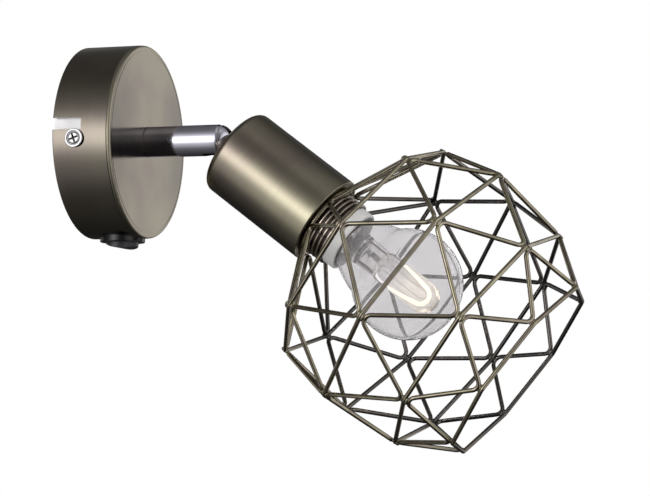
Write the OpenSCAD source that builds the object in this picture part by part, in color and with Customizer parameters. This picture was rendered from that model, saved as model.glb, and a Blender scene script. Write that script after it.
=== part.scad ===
/* [Canopy] */
// Outside diameter of the canopy
canopy_d = 80.4; // [76:0.2:100]
// Depth of the canopy, from the wall to its face
canopy_depth = 25; // [24:0.5:32]
// Sheet thickness of the canopy
canopy_wall = 1.2; // [0.8:0.1:1.4]
// Radius of the pressed edge round the canopy's face
canopy_edge_r = 1.6; // [1.5:0.1:2.5]
// Width of the notch that lets each side screw into the canopy
notch_w = 4.8; // [4.6:0.1:6]
// How far the notch runs in from the canopy's rear edge
notch_depth = 12.4; // [12.4:0.1:15]
// Height of the notch above the arm's axis
notch_offset = 3.2; // [2.6:0.1:4]
// Distance of each side screw from the wall
side_screw_y = 9.8; // [8:0.1:10.2]
// Drop of each side screw below the arm's axis
side_screw_drop = 2.9; // [2.4:0.1:3.5]

/* [Bracket] */
// Height of the bracket's strap
strap_h = 16; // [14:0.5:20]
// Thickness of the bracket
strap_t = 1.5; // [1:0.1:2]
// Distance between the two slots for the wall screws
wall_slot_spacing = 44; // [40:1:48]
// Length of each wall slot
wall_slot_len = 12; // [8:0.5:14]
// Width of each wall slot
wall_slot_w = 5; // [4:0.1:6]
// Diameter of the cable entry through the bracket
cable_hole_d = 9; // [7:0.5:10]
// Thread diameter of the two side screws
side_screw_d = 4; // [3:0.1:4]
// Head diameter of the side screws
side_screw_head_d = 7.6; // [7:0.1:9]
// Head height of the side screws
side_screw_head_h = 2.2; // [1.8:0.1:3]

/* [Switch] */
// Distance of the switch's axis behind the canopy's face
switch_inset = 11; // [9.7:0.1:11]
// Diameter of the switch's collar
switch_collar_d = 18.7; // [18:0.1:20]
// Diameter of the switch's body inside the canopy
switch_body_d = 16.4; // [16.2:0.1:16.6]
// How far the collar stands below the canopy
switch_collar_h = 1.7; // [1.4:0.1:3]
// Diameter of the rocker
rocker_d = 14; // [13:0.1:14.2]
// Bulge of the rocker below its ends
rocker_bulge = 2; // [1:0.1:2.5]
// Angle by which the rocker leans to each side
rocker_lean = 8; // [5:0.5:9]

/* [Arm] */
// Outside diameter of the arm
arm_d = 12.9; // [12.6:0.1:15]
// Distance from the canopy's face to the joint's centre
arm_reach = 32.5; // [32:0.5:60]
// Diameter of the joint's ball
ball_d = 8.4; // [8:0.1:8.6]
// Diameter of the ball's neck
neck_d = 4.9; // [4.6:0.1:5]
// Width of the slot that the neck swings in
slot_w = 5.5; // [5.3:0.1:6]
// Thread diameter of the nipple that carries the arm
nipple_d = 10; // [9.6:0.1:10.2]
// Angle of the lamp below the arm's axis
rest_tilt = 37; // [0:1:60]
// How far the lamp can lift above the arm's axis
tilt_up = 15; // [5:1:20]

/* [Lamp sleeve] */
// Outside diameter of the lamp sleeve
sleeve_d = 37.7; // [36:0.1:44]
// Length of the lamp sleeve
sleeve_len = 49.4; // [46:0.1:60]
// Distance from the joint's centre to the back of the sleeve
sleeve_back = 7; // [6.9:0.1:8]
// Sheet thickness of the lamp sleeve
sleeve_wall = 1.2; // [0.8:0.1:1.6]
// Radius of the sleeve's rounded back edge
sleeve_edge_r = 3; // [2:0.1:5]

/* [Lampholder] */
// Outside diameter of the holder's thread
holder_thread_d = 28.8; // [28:0.1:30]
// Pitch of the holder's thread
holder_thread_pitch = 2; // [1.5:0.1:2.5]
// Number of thread ridges in front of the sleeve
holder_ridges = 5; // [3:1:6]
// Thickness of the threaded shell, from its crests to its bore
thread_wall = 1.1; // [1:0.1:1.4]
// Length of the white rim in front of the thread
holder_rim = 5; // [3:0.1:8]

/* [Bulb] */
// Diameter of the golf ball bulb
bulb_d = 44.6; // [44:0.1:46]
// Thickness of the bulb's glass
bulb_glass_t = 0.8; // [0.6:0.1:1]
// Diameter of the bulb's screw cap
bulb_cap_d = 13.8; // [13:0.1:14]
// Length of the bulb from its contact to its tip
bulb_len = 78; // [76:0.5:79]
// Outside diameter of the halogen capsule inside the bulb
capsule_d = 13; // [11:0.5:14]

/* [Cage] */
// Thickness of the cage wire
wire_d = 1.8; // [1.2:0.1:2]
// Radius from the lamp's axis to the joints of the first ring
ring_1_r = 50.8; // [46:0.5:56]
// Radius to the joints of the second ring
ring_2_r = 58.5; // [52:0.5:64]
// Radius to the joints of the third ring
ring_3_r = 51.6; // [46:0.5:58]
// Radius to the joints of the open mouth's ring
ring_4_r = 40.9; // [34:0.5:46]
// Distance from the base ring to the first ring
bay_1 = 19.9; // [15:0.1:26]
// Distance from the first ring to the second
bay_2 = 29.1; // [24:0.5:34]
// Distance from the second ring to the third
bay_3 = 28.8; // [24:0.5:34]
// Distance from the third ring to the mouth's ring
bay_4 = 20.7; // [16:0.5:26]
// Bend radius of the zigzag wires at most joints
zig_bend = 3.5; // [3:0.1:5]
// Bend radius of the ring wires at their corners
ring_bend = 2.5; // [1.5:0.1:4]
// Turn of the whole cage about the lamp's axis
cage_turn = -9.4; // [-22.5:0.1:22.5]

/* [Fits] */
// Radial clearance of a running or screwed fit
fit_gap = 0.05; // [0.02:0.01:0.1]
// Clearance between pieces that only lie side by side
side_gap = 0.3; // [0.2:0.05:0.4]
// Clearance between two wires at a weld
weld_gap = 0.05; // [0.02:0.01:0.1]

/* [Hidden] */
$fn = 64;
e = 0.01;
sides = 8;
ring_turn = 360 / sides;

brass = "#8f866f";
chrome = "#c9c9d2";
zinc = "#b9bcc0";
copper = "#c9a45a";
black = "#202022";
white = "#dcdcd8";

canopy_r = canopy_d / 2;
canopy_in = canopy_r - canopy_wall;
face_in = canopy_depth - canopy_wall;
tab_gap = 0.5;
tab_out = sqrt(canopy_in * canopy_in - strap_h * strap_h / 4) - tab_gap;
tab_depth = side_screw_y + side_screw_d / 2 + 3;
tongue_w = 14;
tongue_h = 27;
pivot_y = canopy_depth + arm_reach;
switch_y = canopy_depth - switch_inset;
switch_body_top = canopy_r - 13;
blade_t = 0.7;
blade_w = 3.8;
blade_x = 4;
blade_top = switch_body_top - 4;

block_w = 24;
block_h = 11;
block_depth = 10;
block_y = 14;
block_z = strap_t;
pole_pitch = 8;
pole_d = 3.6;
terminal_screw_d = 2.6;
block_screw_d = 3;
block_head_d = 4.4;
earth_x = 11;
earth_screw_d = 3.5;

lead_d = 1.5;
lead_x = 0.85;
lead_end = canopy_depth - 12;
lead_touch = 0.1;
blade_lead_y = switch_y - blade_t / 2 - lead_d / 2 - lead_touch;

nipple_bore_d = 6;
nipple_back = canopy_depth - 10.5;
nipple_grip = 13;
washer_t = 1.2;
washer_d = 18;
nut_af = 14;
nut_t = 4;
stop_r = 11;
stop_d = 2.4;

arm_r = arm_d / 2;
arm_bore_d = ball_d + 0.2;
dome_y = pivot_y + ball_d / 2 + fit_gap + 0.75 - arm_r;
slot_back = pivot_y - 7.4;
seat_front = pivot_y - 3;
seat_len = 4.2;
seat_d = arm_bore_d - 2 * fit_gap;
spring_wire = 0.7;
spring_turns = 5;
spring_r = seat_d / 2 - spring_wire / 2 - 0.25;
seat_bore_d = 4.4;

stud_bore_d = 3.6;
stud_end = sleeve_back + 11.5;
stud_nut_af = 8;
stud_nut_t = 4;
stud_washer_t = 1;

sleeve_r = sleeve_d / 2;
sleeve_in = sleeve_r - sleeve_wall;
sleeve_front = sleeve_back + sleeve_len;
sleeve_ring_t = 1.2;

thread_len = holder_ridges * holder_thread_pitch;
thread_front = sleeve_front + thread_len;
thread_root_r = holder_thread_d / 2 - 0.7;
thread_in_r = holder_thread_d / 2 - thread_wall;
thread_back = sleeve_back + 22;
holder_r = thread_in_r - fit_gap;
holder_front = thread_front + holder_rim;
holder_back = sleeve_back + sleeve_wall + stud_washer_t + stud_nut_t + side_gap;
holder_wall = 1.6;
floor_t = 4;
bulb_centre = holder_front + 28;
bulb_tip = bulb_centre + bulb_d / 2;
bulb_foot = bulb_tip - bulb_len;
cap_len = 25;
cap_front = bulb_foot + cap_len;
cap_cavity_r = bulb_cap_d / 2 + 1.3;
floor_front = bulb_foot - 1.6;
terminal_x = 6;
terminal_r = 1.5;
cap_r = bulb_cap_d / 2;

wire_r = wire_d / 2;
wire_sides = 10;
base_ring_r = holder_thread_d / 2 + fit_gap + wire_r;
base_ring_h = sleeve_front + wire_r + fit_gap;
ring_r = [base_ring_r, ring_1_r, ring_2_r, ring_3_r, ring_4_r];
ring_h = [base_ring_h, base_ring_h + bay_1, base_ring_h + bay_1 + bay_2,
    base_ring_h + bay_1 + bay_2 + bay_3, base_ring_h + bay_1 + bay_2 + bay_3 + bay_4];
low_bend = [0, zig_bend - 1.5, zig_bend, zig_bend, zig_bend];
high_bend = [0, 1.3, zig_bend, zig_bend, zig_bend];

// Stands a shape that is drawn upwards from a plane out from the wall instead
module from_wall() {
  rotate([90, 0, 0]) children();
}

// Puts a shape that is drawn from the joint's centre along the lamp's axis into place
module on_head() {
  from_wall() translate([0, 0, pivot_y]) rotate([rest_tilt, 0, 0]) children();
}

// A plain ring about the axis
module tube(outer, inner, low, high) {
  translate([0, 0, low]) difference() {
    cylinder(r = outer, h = high - low);
    translate([0, 0, -1]) cylinder(r = inner, h = high - low + 2);
  }
}

// A hexagonal nut about the axis
module hex_nut(across, bore_r, low, high) {
  translate([0, 0, low]) difference() {
    intersection() {
      cylinder(d = across / cos(30), h = high - low, $fn = 6);
      cylinder(d = across * 1.1, h = high - low);
    }
    translate([0, 0, -1]) cylinder(r = bore_r, h = high - low + 2);
  }
}

// Point on a smooth curve through a list of points
function curve_at(p, i, t) =
  let (a = p[max(i - 1, 0)], b = p[i], c = p[i + 1], d = p[min(i + 2, len(p) - 1)])
  0.5 * (2 * b + (c - a) * t + (2 * a - 5 * b + 4 * c - d) * t * t
    + (3 * b - a - 3 * c + d) * t * t * t);
function smooth(p, steps) = concat(
  [for (i = [0:len(p) - 2]) for (s = [0:steps - 1]) curve_at(p, i, s / steps)], [p[len(p) - 1]]);
function unit(v) = v / norm(v);
function heading(p, i) = unit(p[min(i + 1, len(p) - 1)] - p[max(i - 1, 0)]);
function across_of(t) = unit(cross(t, abs(t[0]) < 0.8 ? [1, 0, 0] : [0, 1, 0]));
// Carries a crosswise direction from one ring to the next without a twist
function carried(p, i) = i == 0 ? across_of(heading(p, 0))
  : let (t = heading(p, i), u = carried(p, i - 1)) unit(u - (u * t) * t);

// A round lead that follows a list of points
module lead(points, d, n = 8) {
  m = len(points);
  rings = [for (i = [0:m - 1]) let (t = heading(points, i), u = carried(points, i), v = cross(t, u))
    for (k = [0:n - 1]) points[i] + d / 2 * (cos(k * 360 / n) * u + sin(k * 360 / n) * v)];
  skin = [for (i = [0:m - 2]) for (k = [0:n - 1]) let (a = i * n + k, b = i * n + (k + 1) % n)
    each [[a, a + n, b], [b, a + n, b + n]]];
  cap_low = [for (k = [1:n - 2]) [0, k, k + 1]];
  cap_high = [for (k = [1:n - 2]) [(m - 1) * n, (m - 1) * n + k + 1, (m - 1) * n + k]];
  polyhedron(points = rings, faces = concat(skin, cap_low, cap_high));
}

// Canopy with its notches, holes and pressed edge
module bayonet_cut() {
  cut_in = canopy_in - 4;
  translate([-canopy_r - 1, notch_offset - notch_w / 2, -1])
    cube([canopy_r + 1 - cut_in, notch_w, notch_depth + 1]);
  translate([-canopy_r - 1, -side_screw_drop, side_screw_y - side_screw_d / 2 - 0.3])
    cube([canopy_r + 1 - cut_in, side_screw_drop + notch_offset, side_screw_d + 0.6]);
  translate([-canopy_r - 1, -side_screw_drop, side_screw_y]) rotate([0, 90, 0])
    cylinder(d = side_screw_d + 0.6, h = canopy_r + 1 - cut_in);
}

module canopy_shell() {
  rotate_extrude($fn = 128) {
    difference() {
      union() {
        square([canopy_r, canopy_depth - canopy_edge_r]);
        square([canopy_r - canopy_edge_r, canopy_depth]);
        translate([canopy_r - canopy_edge_r, canopy_depth - canopy_edge_r]) circle(r = canopy_edge_r);
      }
      translate([-1, -1]) square([canopy_in + 1, face_in - canopy_edge_r + canopy_wall + 1]);
      translate([-1, -1]) square([canopy_r - canopy_edge_r + 1, face_in + 1]);
    }
  }
}

module canopy() {
  color(brass) from_wall() {
    difference() {
      canopy_shell();
      translate([0, 0, face_in - 1]) cylinder(r = nipple_d / 2 + fit_gap, h = canopy_wall + 2);
      bayonet_cut();
      rotate([0, 0, 180]) bayonet_cut();
      translate([0, -canopy_r + 5, switch_y]) rotate([90, 0, 0])
        cylinder(d = switch_body_d + 2 * fit_gap, h = 10);
    }
    translate([0, -stop_r, face_in - 1.6]) cylinder(d = stop_d, h = 1.6);
  }
}

// Strap bracket with its two side tabs and the tongue for the terminal block
module wall_bracket() {
  color(zinc) from_wall() difference() {
    union() {
      translate([-tab_out, -strap_h / 2, 0]) cube([2 * tab_out, strap_h, strap_t]);
      translate([-tongue_w / 2, 0, 0]) cube([tongue_w, tongue_h, strap_t]);
      for (s = [-1, 1]) translate([s * (tab_out - strap_t / 2) - strap_t / 2, -strap_h / 2, 0])
        cube([strap_t, strap_h, tab_depth]);
    }
    for (s = [-1, 1]) translate([s * wall_slot_spacing / 2, 0, -1]) {
      translate([-(wall_slot_len - wall_slot_w) / 2, -wall_slot_w / 2, 0])
        cube([wall_slot_len - wall_slot_w, wall_slot_w, strap_t + 2]);
      for (t = [-1, 1]) translate([t * (wall_slot_len - wall_slot_w) / 2, 0, 0])
        cylinder(d = wall_slot_w, h = strap_t + 2);
    }
    translate([0, 0, -1]) cylinder(d = cable_hole_d, h = strap_t + 2);
    translate([pole_pitch / 2, block_y + block_h / 2, -1])
      cylinder(r = block_screw_d / 2 + fit_gap, h = strap_t + 2);
    translate([earth_x, 0, -1]) cylinder(r = earth_screw_d / 2 + fit_gap, h = strap_t + 2);
    for (s = [0, 180]) rotate([0, 0, s]) translate([-tab_out - 1, -side_screw_drop, side_screw_y])
      rotate([0, 90, 0]) cylinder(r = side_screw_d / 2 + fit_gap, h = strap_t + 2);
  }
}

// Pan head with a cross recess, drawn with its seat on the plane
module pan_head(d, h, recess) {
  difference() {
    rotate_extrude() difference() {
      union() {
        square([d / 2, h * 0.45]);
        intersection() {
          translate([0, h - d * 0.72]) circle(r = d * 0.72);
          square([d / 2 - 0.15, h]);
        }
      }
      translate([-d, -d]) square([d, 3 * d]);
    }
    for (a = [0, 90]) rotate([0, 0, a])
      translate([-recess * 1.9, -recess / 2, h * 0.5]) cube([recess * 3.8, recess, h]);
  }
}

module side_screws() {
  shank = canopy_r - tab_out + strap_t + 2;
  color(zinc) from_wall() for (s = [0, 180]) rotate([0, 0, s])
    translate([-canopy_r - 0.02, -side_screw_drop, side_screw_y]) rotate([0, -90, 0]) {
      pan_head(side_screw_head_d, side_screw_head_h, 0.9);
      translate([0, 0, -shank]) cylinder(d = side_screw_d, h = shank);
    }
}

// Three pole terminal block
module pole_at() {
  for (i = [-1:1]) translate([i * pole_pitch, block_y, block_z + block_depth * 0.45]) children();
}

module terminal_block() {
  color(white) from_wall() difference() {
    union() {
      translate([-block_w / 2, block_y, block_z]) cube([block_w, block_h, block_depth * 0.8]);
      for (i = [-1:1]) translate([i * pole_pitch - 2.7, block_y, block_z + block_depth * 0.8 - e])
        cube([5.4, block_h, block_depth * 0.2 + e]);
    }
    pole_at() translate([0, -1, 0]) rotate([-90, 0, 0]) cylinder(r = pole_d / 2 + fit_gap, h = block_h + 2);
    pole_at() for (y = [2.4, block_h - 2.4]) translate([0, y, 0])
      cylinder(r = terminal_screw_d / 2 + fit_gap, h = block_depth);
    translate([pole_pitch / 2, block_y + block_h / 2, block_z - 1])
      cylinder(r = block_screw_d / 2 + fit_gap, h = block_depth + 2);
    translate([pole_pitch / 2, block_y + block_h / 2, block_z + block_depth - 1.8])
      cylinder(r = block_head_d / 2 + fit_gap, h = 3);
  }
}

module terminal_sleeves() {
  color(copper) from_wall() pole_at() {
    difference() {
      translate([0, 0.5, 0]) rotate([-90, 0, 0]) cylinder(d = pole_d, h = block_h - 1);
      rotate([-90, 0, 0]) cylinder(r = lead_d / 2 + fit_gap, h = block_h);
      for (y = [2.4, block_h - 2.4]) translate([0, y, 0])
        cylinder(r = terminal_screw_d / 2 + fit_gap, h = block_depth);
    }
  }
}

module terminal_screws() {
  color(zinc) from_wall() pole_at() for (y = [2.4, block_h - 2.4])
    translate([0, y, lead_d / 2 + fit_gap]) difference() {
      cylinder(d = terminal_screw_d, h = 3.6);
      translate([-terminal_screw_d, -0.3, 2.9]) cube([2 * terminal_screw_d, 0.6, 1]);
    }
}

module block_screw() {
  shank = block_depth - 1.8 + strap_t;
  color(zinc) from_wall() translate([pole_pitch / 2, block_y + block_h / 2, block_z + block_depth - 1.8]) {
    difference() {
      cylinder(d = block_head_d, h = 1.2);
      translate([-4, -0.3, 0.6]) cube([8, 0.6, 1]);
    }
    translate([0, 0, -shank]) cylinder(d = block_screw_d, h = shank);
  }
}

// Rubber grommet in the cable entry
module cable_grommet() {
  color(black) from_wall() rotate_extrude() difference() {
    union() {
      translate([cable_hole_d / 2 - 1.6, 0]) square([1.6 - fit_gap, strap_t + 1.2]);
      translate([cable_hole_d / 2 - 1.6, strap_t]) square([2.8, 1.2]);
    }
    translate([cable_hole_d / 2 + 1.2, strap_t + 1.2]) circle(r = 0.5);
  }
}

module earth_screw() {
  color(zinc) from_wall() translate([earth_x, 0, 0]) {
    tube(earth_screw_d / 2 + 1.6, earth_screw_d / 2 + fit_gap, strap_t, strap_t + 0.6);
    translate([0, 0, strap_t + 0.6 + lead_d]) pan_head(earth_screw_d * 1.9, 1.8, 0.6);
    cylinder(d = earth_screw_d, h = strap_t + 0.6 + lead_d);
  }
}

// Leads inside the canopy
lead_z = block_z + block_depth * 0.45;
lead_in = block_y + 6;
lead_out = block_y - 0.6;
earth_z = strap_t + 0.6 + lead_d / 2;
live_route = concat([[-pole_pitch, lead_in, lead_z]], smooth([[-pole_pitch, lead_out, lead_z],
  [-12, 2, 6.6], [-12.2, -blade_top / 2 + 1.5, 7], [-2 * blade_x, 5 - blade_top, blade_lead_y - 3.5],
  [-blade_x, -blade_top - 0.4, blade_lead_y - 0.2], [-blade_x, -blade_top - 3.6, blade_lead_y]], 4));
neutral_route = concat([[0, lead_in - 1, lead_z]], smooth([[0, lead_out, lead_z], [1.6, 6, 5.6],
  [1.5, 1.8, lead_end - 4.8], [lead_x, 0, lead_end - 2]], 4), [[lead_x, 0, lead_end]]);
switched_route = concat(smooth([[blade_x, -blade_top - 3.6, blade_lead_y],
  [blade_x, -blade_top - 0.4, blade_lead_y - 0.2], [blade_x, 9 - blade_top, blade_lead_y - 4.1],
  [1.4, -5, lead_end - 5.6], [-0.8, -1, lead_end - 4.2], [-lead_x, 0, lead_end - 1.8]], 4),
  [[-lead_x, 0, lead_end]]);
earth_route = concat([[pole_pitch, lead_in, lead_z]], smooth([[pole_pitch, lead_out, lead_z],
  [earth_x - 1.2, 7, 4.6], [earth_x - 0.2, 4.4, earth_z + 0.25], [earth_x, 2.7, earth_z]], 4));

module live_lead() {
  color("#6b3f28") from_wall() lead(live_route, lead_d);
}

module neutral_lead() {
  color("#2f4f87") from_wall() lead(neutral_route, lead_d);
}

module switched_lead() {
  color("#6b3f28") from_wall() lead(switched_route, lead_d);
}

module earth_lead() {
  color("#6f8f3a") from_wall() {
    lead(earth_route, lead_d);
    translate([earth_x, 0, 0])
      tube(earth_screw_d / 2 + 1.2, earth_screw_d / 2 + fit_gap, strap_t + 0.6, strap_t + 0.6 + lead_d);
  }
}

// Round rocker switch in the underside of the canopy
switch_z = canopy_r + switch_collar_h;
rocker_pivot = switch_z - 2.1;
rocker_pin_d = 2;
rocker_gap = 0.45;

module at_switch() {
  from_wall() translate([0, 0, switch_y]) rotate([90, 0, 0]) children();
}

module switch_housing() {
  color(black) at_switch() difference() {
    union() {
      translate([0, 0, switch_body_top]) cylinder(d = switch_body_d, h = switch_z - switch_body_top);
      difference() {
        translate([0, 0, canopy_r - 2]) cylinder(d = switch_collar_d, h = switch_collar_h + 2 - 0.5);
        rotate([90, 0, 0]) cylinder(r = canopy_r + e, h = 40, center = true, $fn = 128);
      }
      translate([0, 0, switch_z - 0.5]) rotate_extrude() {
        square([switch_collar_d / 2 - 0.5, 0.5]);
        intersection() {
          translate([switch_collar_d / 2 - 0.5, 0]) circle(r = 0.5);
          square([switch_collar_d, 0.5]);
        }
      }
    }
    translate([0, 0, switch_body_top + 5.5]) cylinder(r = rocker_d / 2 + rocker_gap, h = 20);
    translate([0, 0, rocker_pivot]) rotate([0, 90, 0])
      cylinder(r = rocker_pin_d / 2 + fit_gap, h = 15.6, center = true);
    for (s = [-1, 1]) translate([s * blade_x - blade_w / 2 - lead_touch, -blade_t / 2 - fit_gap,
      switch_body_top - 1]) cube([blade_w + 2 * lead_touch, blade_t + 2 * fit_gap, 20]);
  }
}

module switch_terminals() {
  color(copper) at_switch() for (s = [-1, 1]) difference() {
    translate([s * blade_x - blade_w / 2, -blade_t / 2, blade_top]) cube([blade_w, blade_t, 10.5]);
    translate([s * blade_x, 0, blade_top + 1.6]) rotate([90, 0, 0]) cylinder(d = 1.4, h = 3, center = true);
  }
}

module switch_rocker() {
  half = rocker_d / 2;
  bulge_r = (half * half + rocker_bulge * rocker_bulge) / (2 * rocker_bulge);
  end_drop = 3.1;
  color(black) at_switch() translate([0, 0, rocker_pivot]) rotate([rocker_lean, 0, 0]) {
    intersection() {
      translate([0, 0, -1.2]) cylinder(d = rocker_d, h = 10);
      translate([0, 0, end_drop + rocker_bulge - bulge_r]) rotate([0, 90, 0])
        cylinder(r = bulge_r, h = 30, center = true, $fn = 128);
    }
    rotate([0, 90, 0]) cylinder(d = rocker_pin_d, h = 15.4, center = true);
    translate([0, 0, -4.6]) cylinder(d = 3, h = 4);
  }
}

// Arm with its domed, slotted end
module arm_tube() {
  color(chrome) from_wall() difference() {
    union() {
      translate([0, 0, canopy_depth]) cylinder(r = arm_r, h = dome_y - canopy_depth);
      intersection() {
        translate([0, 0, dome_y]) sphere(r = arm_r);
        translate([0, 0, dome_y]) cylinder(r = arm_r + 1, h = arm_r + 1);
      }
    }
    translate([0, 0, canopy_depth - 1])
      cylinder(r = nipple_d / 2 + fit_gap, h = nipple_grip + 1);
    translate([0, 0, canopy_depth]) cylinder(d = arm_bore_d, h = arm_reach);
    translate([0, 0, pivot_y]) sphere(r = ball_d / 2 + fit_gap);
    hull() {
      translate([-slot_w / 2, -arm_r - 1, slot_back + slot_w / 2]) cube([slot_w, e, e]);
      translate([-slot_w / 2, -arm_r - 1, pivot_y + 12]) cube([slot_w, e, e]);
      translate([-slot_w / 2, -1, slot_back + slot_w / 2]) cube([slot_w, e, e]);
      translate([0, 0, pivot_y]) rotate([-tilt_up, 0, 0])
        translate([-slot_w / 2, 0, 10]) cube([slot_w, e, e]);
    }
    translate([0, -1, slot_back + slot_w / 2]) rotate([90, 0, 0]) cylinder(d = slot_w, h = arm_r + 2);
    translate([0, 0, pivot_y]) rotate([-tilt_up, 0, 0]) cylinder(d = slot_w, h = 10);
  }
}

module arm_nipple() {
  color(zinc) from_wall()
    tube(nipple_d / 2, nipple_bore_d / 2, nipple_back, canopy_depth + nipple_grip);
}

module arm_washer() {
  color(zinc) from_wall() difference() {
    union() {
      translate([0, 0, face_in - washer_t]) cylinder(d = washer_d, h = washer_t);
      translate([-1.1, 0, face_in - washer_t]) cube([2.2, stop_r + 1.6, washer_t]);
    }
    translate([0, 0, face_in - washer_t - 1]) cylinder(r = nipple_d / 2 + fit_gap, h = washer_t + 2);
  }
}

module arm_nut() {
  top = face_in - washer_t;
  color(zinc) from_wall() hex_nut(nut_af, nipple_d / 2 + fit_gap, top - nut_t, top);
}

// Spring that presses the seat on the ball
module joint_spring() {
  low = canopy_depth + nipple_grip + spring_wire / 2 + fit_gap;
  high = seat_front - seat_len - spring_wire / 2 - fit_gap;
  steps = spring_turns * 12;
  route = [for (i = [0:steps]) [spring_r * cos(i * 30), spring_r * sin(i * 30),
    low + (high - low) * i / steps]];
  color(zinc) from_wall() lead(route, spring_wire, 6);
}

module ball_seat() {
  color(copper) from_wall() difference() {
    translate([0, 0, seat_front - seat_len]) cylinder(d = seat_d, h = seat_len);
    translate([0, 0, seat_front - seat_len - 1]) cylinder(d = seat_bore_d, h = seat_len + 2);
    translate([0, 0, pivot_y]) sphere(r = ball_d / 2 + fit_gap);
  }
}

module arm_leads() {
  color("#6b3f28") from_wall() for (s = [-1, 1]) translate([s * lead_x, 0, lead_end])
    cylinder(d = lead_d, h = pivot_y - ball_d / 2 - 0.5 - lead_end);
}

// Hollow ball and stud that carry the lamp
module knuckle_ball() {
  color(chrome) on_head() difference() {
    union() {
      sphere(d = ball_d);
      cylinder(d = neck_d, h = stud_end);
    }
    translate([0, 0, -ball_d]) cylinder(d = stud_bore_d, h = stud_end + 2 * ball_d);
  }
}

module stud_washer() {
  low = sleeve_back + sleeve_wall;
  color(zinc) on_head() tube(6, neck_d / 2 + fit_gap, low, low + stud_washer_t);
}

module stud_nut() {
  low = sleeve_back + sleeve_wall + stud_washer_t;
  color(zinc) on_head() hex_nut(stud_nut_af, neck_d / 2 + fit_gap, low, low + stud_nut_t);
}

module lamp_sleeve() {
  inner_edge = sleeve_edge_r - sleeve_wall;
  color(brass) on_head() difference() {
    translate([0, 0, sleeve_back]) rotate_extrude($fn = 128) difference() {
      union() {
        translate([0, sleeve_edge_r]) square([sleeve_r, sleeve_len - sleeve_edge_r]);
        square([sleeve_r - sleeve_edge_r, sleeve_len]);
        intersection() {
          translate([sleeve_r - sleeve_edge_r, sleeve_edge_r]) circle(r = sleeve_edge_r);
          square([sleeve_r, sleeve_len]);
        }
      }
      translate([0, sleeve_edge_r]) square([sleeve_in, sleeve_len]);
      translate([0, sleeve_wall]) square([sleeve_in - inner_edge, sleeve_len]);
      intersection() {
        translate([sleeve_in - inner_edge, sleeve_edge_r]) circle(r = inner_edge);
        square([sleeve_in, sleeve_len]);
      }
    }
    cylinder(r = neck_d / 2 + fit_gap, h = sleeve_back + sleeve_wall + 1);
  }
}

// Flat ring that closes the mouth of the sleeve round the holder
module sleeve_ring() {
  color(brass) on_head() tube(sleeve_in - fit_gap, holder_thread_d / 2 + fit_gap,
    sleeve_front - sleeve_ring_t, sleeve_front);
}

// Threaded outer shell of the lampholder
module holder_thread() {
  crest = holder_thread_d / 2;
  p = holder_thread_pitch;
  color("#4d453a") on_head() rotate_extrude() polygon(concat(
    [[thread_in_r, thread_front], [thread_in_r, thread_back], [thread_root_r, thread_back],
      [thread_root_r, sleeve_front - 3 * p]],
    [for (i = [-3:holder_ridges - 1]) let (z = sleeve_front + i * p) each [[thread_root_r, z + 0.1 * p],
      [crest, z + 0.42 * p], [crest, z + 0.62 * p], [thread_root_r, z + 0.94 * p]]],
    [[thread_root_r, thread_front]]));
}

// White insulating body of the lampholder
module holder_body() {
  mouth_r = holder_r - 1.3;
  color(white) on_head() difference() {
    rotate_extrude() difference() {
      union() {
        translate([0, holder_back]) square([holder_r, holder_front - 0.8 - holder_back]);
        translate([0, holder_back]) square([holder_r - 0.8, holder_front - holder_back]);
        intersection() {
          translate([holder_r - 0.8, holder_front - 0.8]) circle(r = 0.8);
          translate([0, holder_back]) square([holder_r, holder_front]);
        }
      }
      translate([-1, holder_back + 2.4])
        square([holder_r - holder_wall + 1, floor_front - floor_t - holder_back - 2.4]);
      translate([-1, floor_front]) square([cap_cavity_r + 1, holder_front]);
      polygon([[0, cap_front - 1.6], [cap_cavity_r, cap_front - 1.6], [mouth_r, cap_front + 2.4],
        [mouth_r, holder_front + 1], [0, holder_front + 1]]);
    }
    translate([0, 0, holder_back - 1]) cylinder(r = neck_d / 2 + fit_gap, h = 6);
    for (s = [-1, 1]) translate([s * terminal_x, 0, floor_front - floor_t - 1])
      cylinder(r = terminal_r + fit_gap, h = floor_t + 2);
  }
}

// Sprung tongue that the bulb's contact presses on
module holder_centre_contact() {
  color(copper) on_head() {
    translate([-terminal_x, -1.6, floor_front]) cube([terminal_x + 2, 3.2, 0.5]);
    translate([0, 0, floor_front + 0.5 - e]) cylinder(r1 = 1.5, r2 = 1.1, h = 0.9);
  }
}

module holder_side_contact() {
  color(copper) on_head() {
    translate([4.4, -1.6, floor_front]) cube([cap_cavity_r - 4.6, 3.2, 0.5]);
    translate([cap_cavity_r - 0.7, -1.2, floor_front + 0.5 - e]) cube([0.5, 2.4, 12]);
  }
}

module holder_terminals() {
  low = floor_front - floor_t - 3;
  color(copper) on_head() for (s = [-1, 1]) translate([s * terminal_x, 0, low]) difference() {
    cylinder(r = terminal_r, h = floor_t + 3 - fit_gap);
    translate([0, 0, -1]) cylinder(r = lead_d / 2 + fit_gap, h = 3);
  }
}

module head_leads() {
  low = -ball_d / 2 + 0.5;
  high = floor_front - floor_t - 2.2;
  turn = (stud_end + high) / 2;
  color("#6b3f28") on_head() for (s = [-1, 1])
    lead(concat([[s * lead_x, 0, low]], smooth([[s * lead_x, 0, stud_end + 0.6],
      [s * (lead_x + 0.8), 0, turn], [s * (terminal_x - 0.6), 0, high - 4],
      [s * terminal_x, 0, high]], 4)), lead_d);
}

// Points of the cage: radius and height of a joint of each ring
function joint(i) = [ring_r[i], ring_h[i]];
// Middle of the chord between the two neighbours of a corner, as radius and height
function chord_mid(q) = [q[0] * cos(ring_turn / 2), q[1]];
function half_angle(p, q) = atan(q[0] * sin(ring_turn / 2) / norm(chord_mid(q) - p));
function moved(start, p, q, bend) =
  start + (wire_d + weld_gap - bend * (1 / sin(half_angle(p, q)) - 1)) * unit(chord_mid(q) - p);
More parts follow.
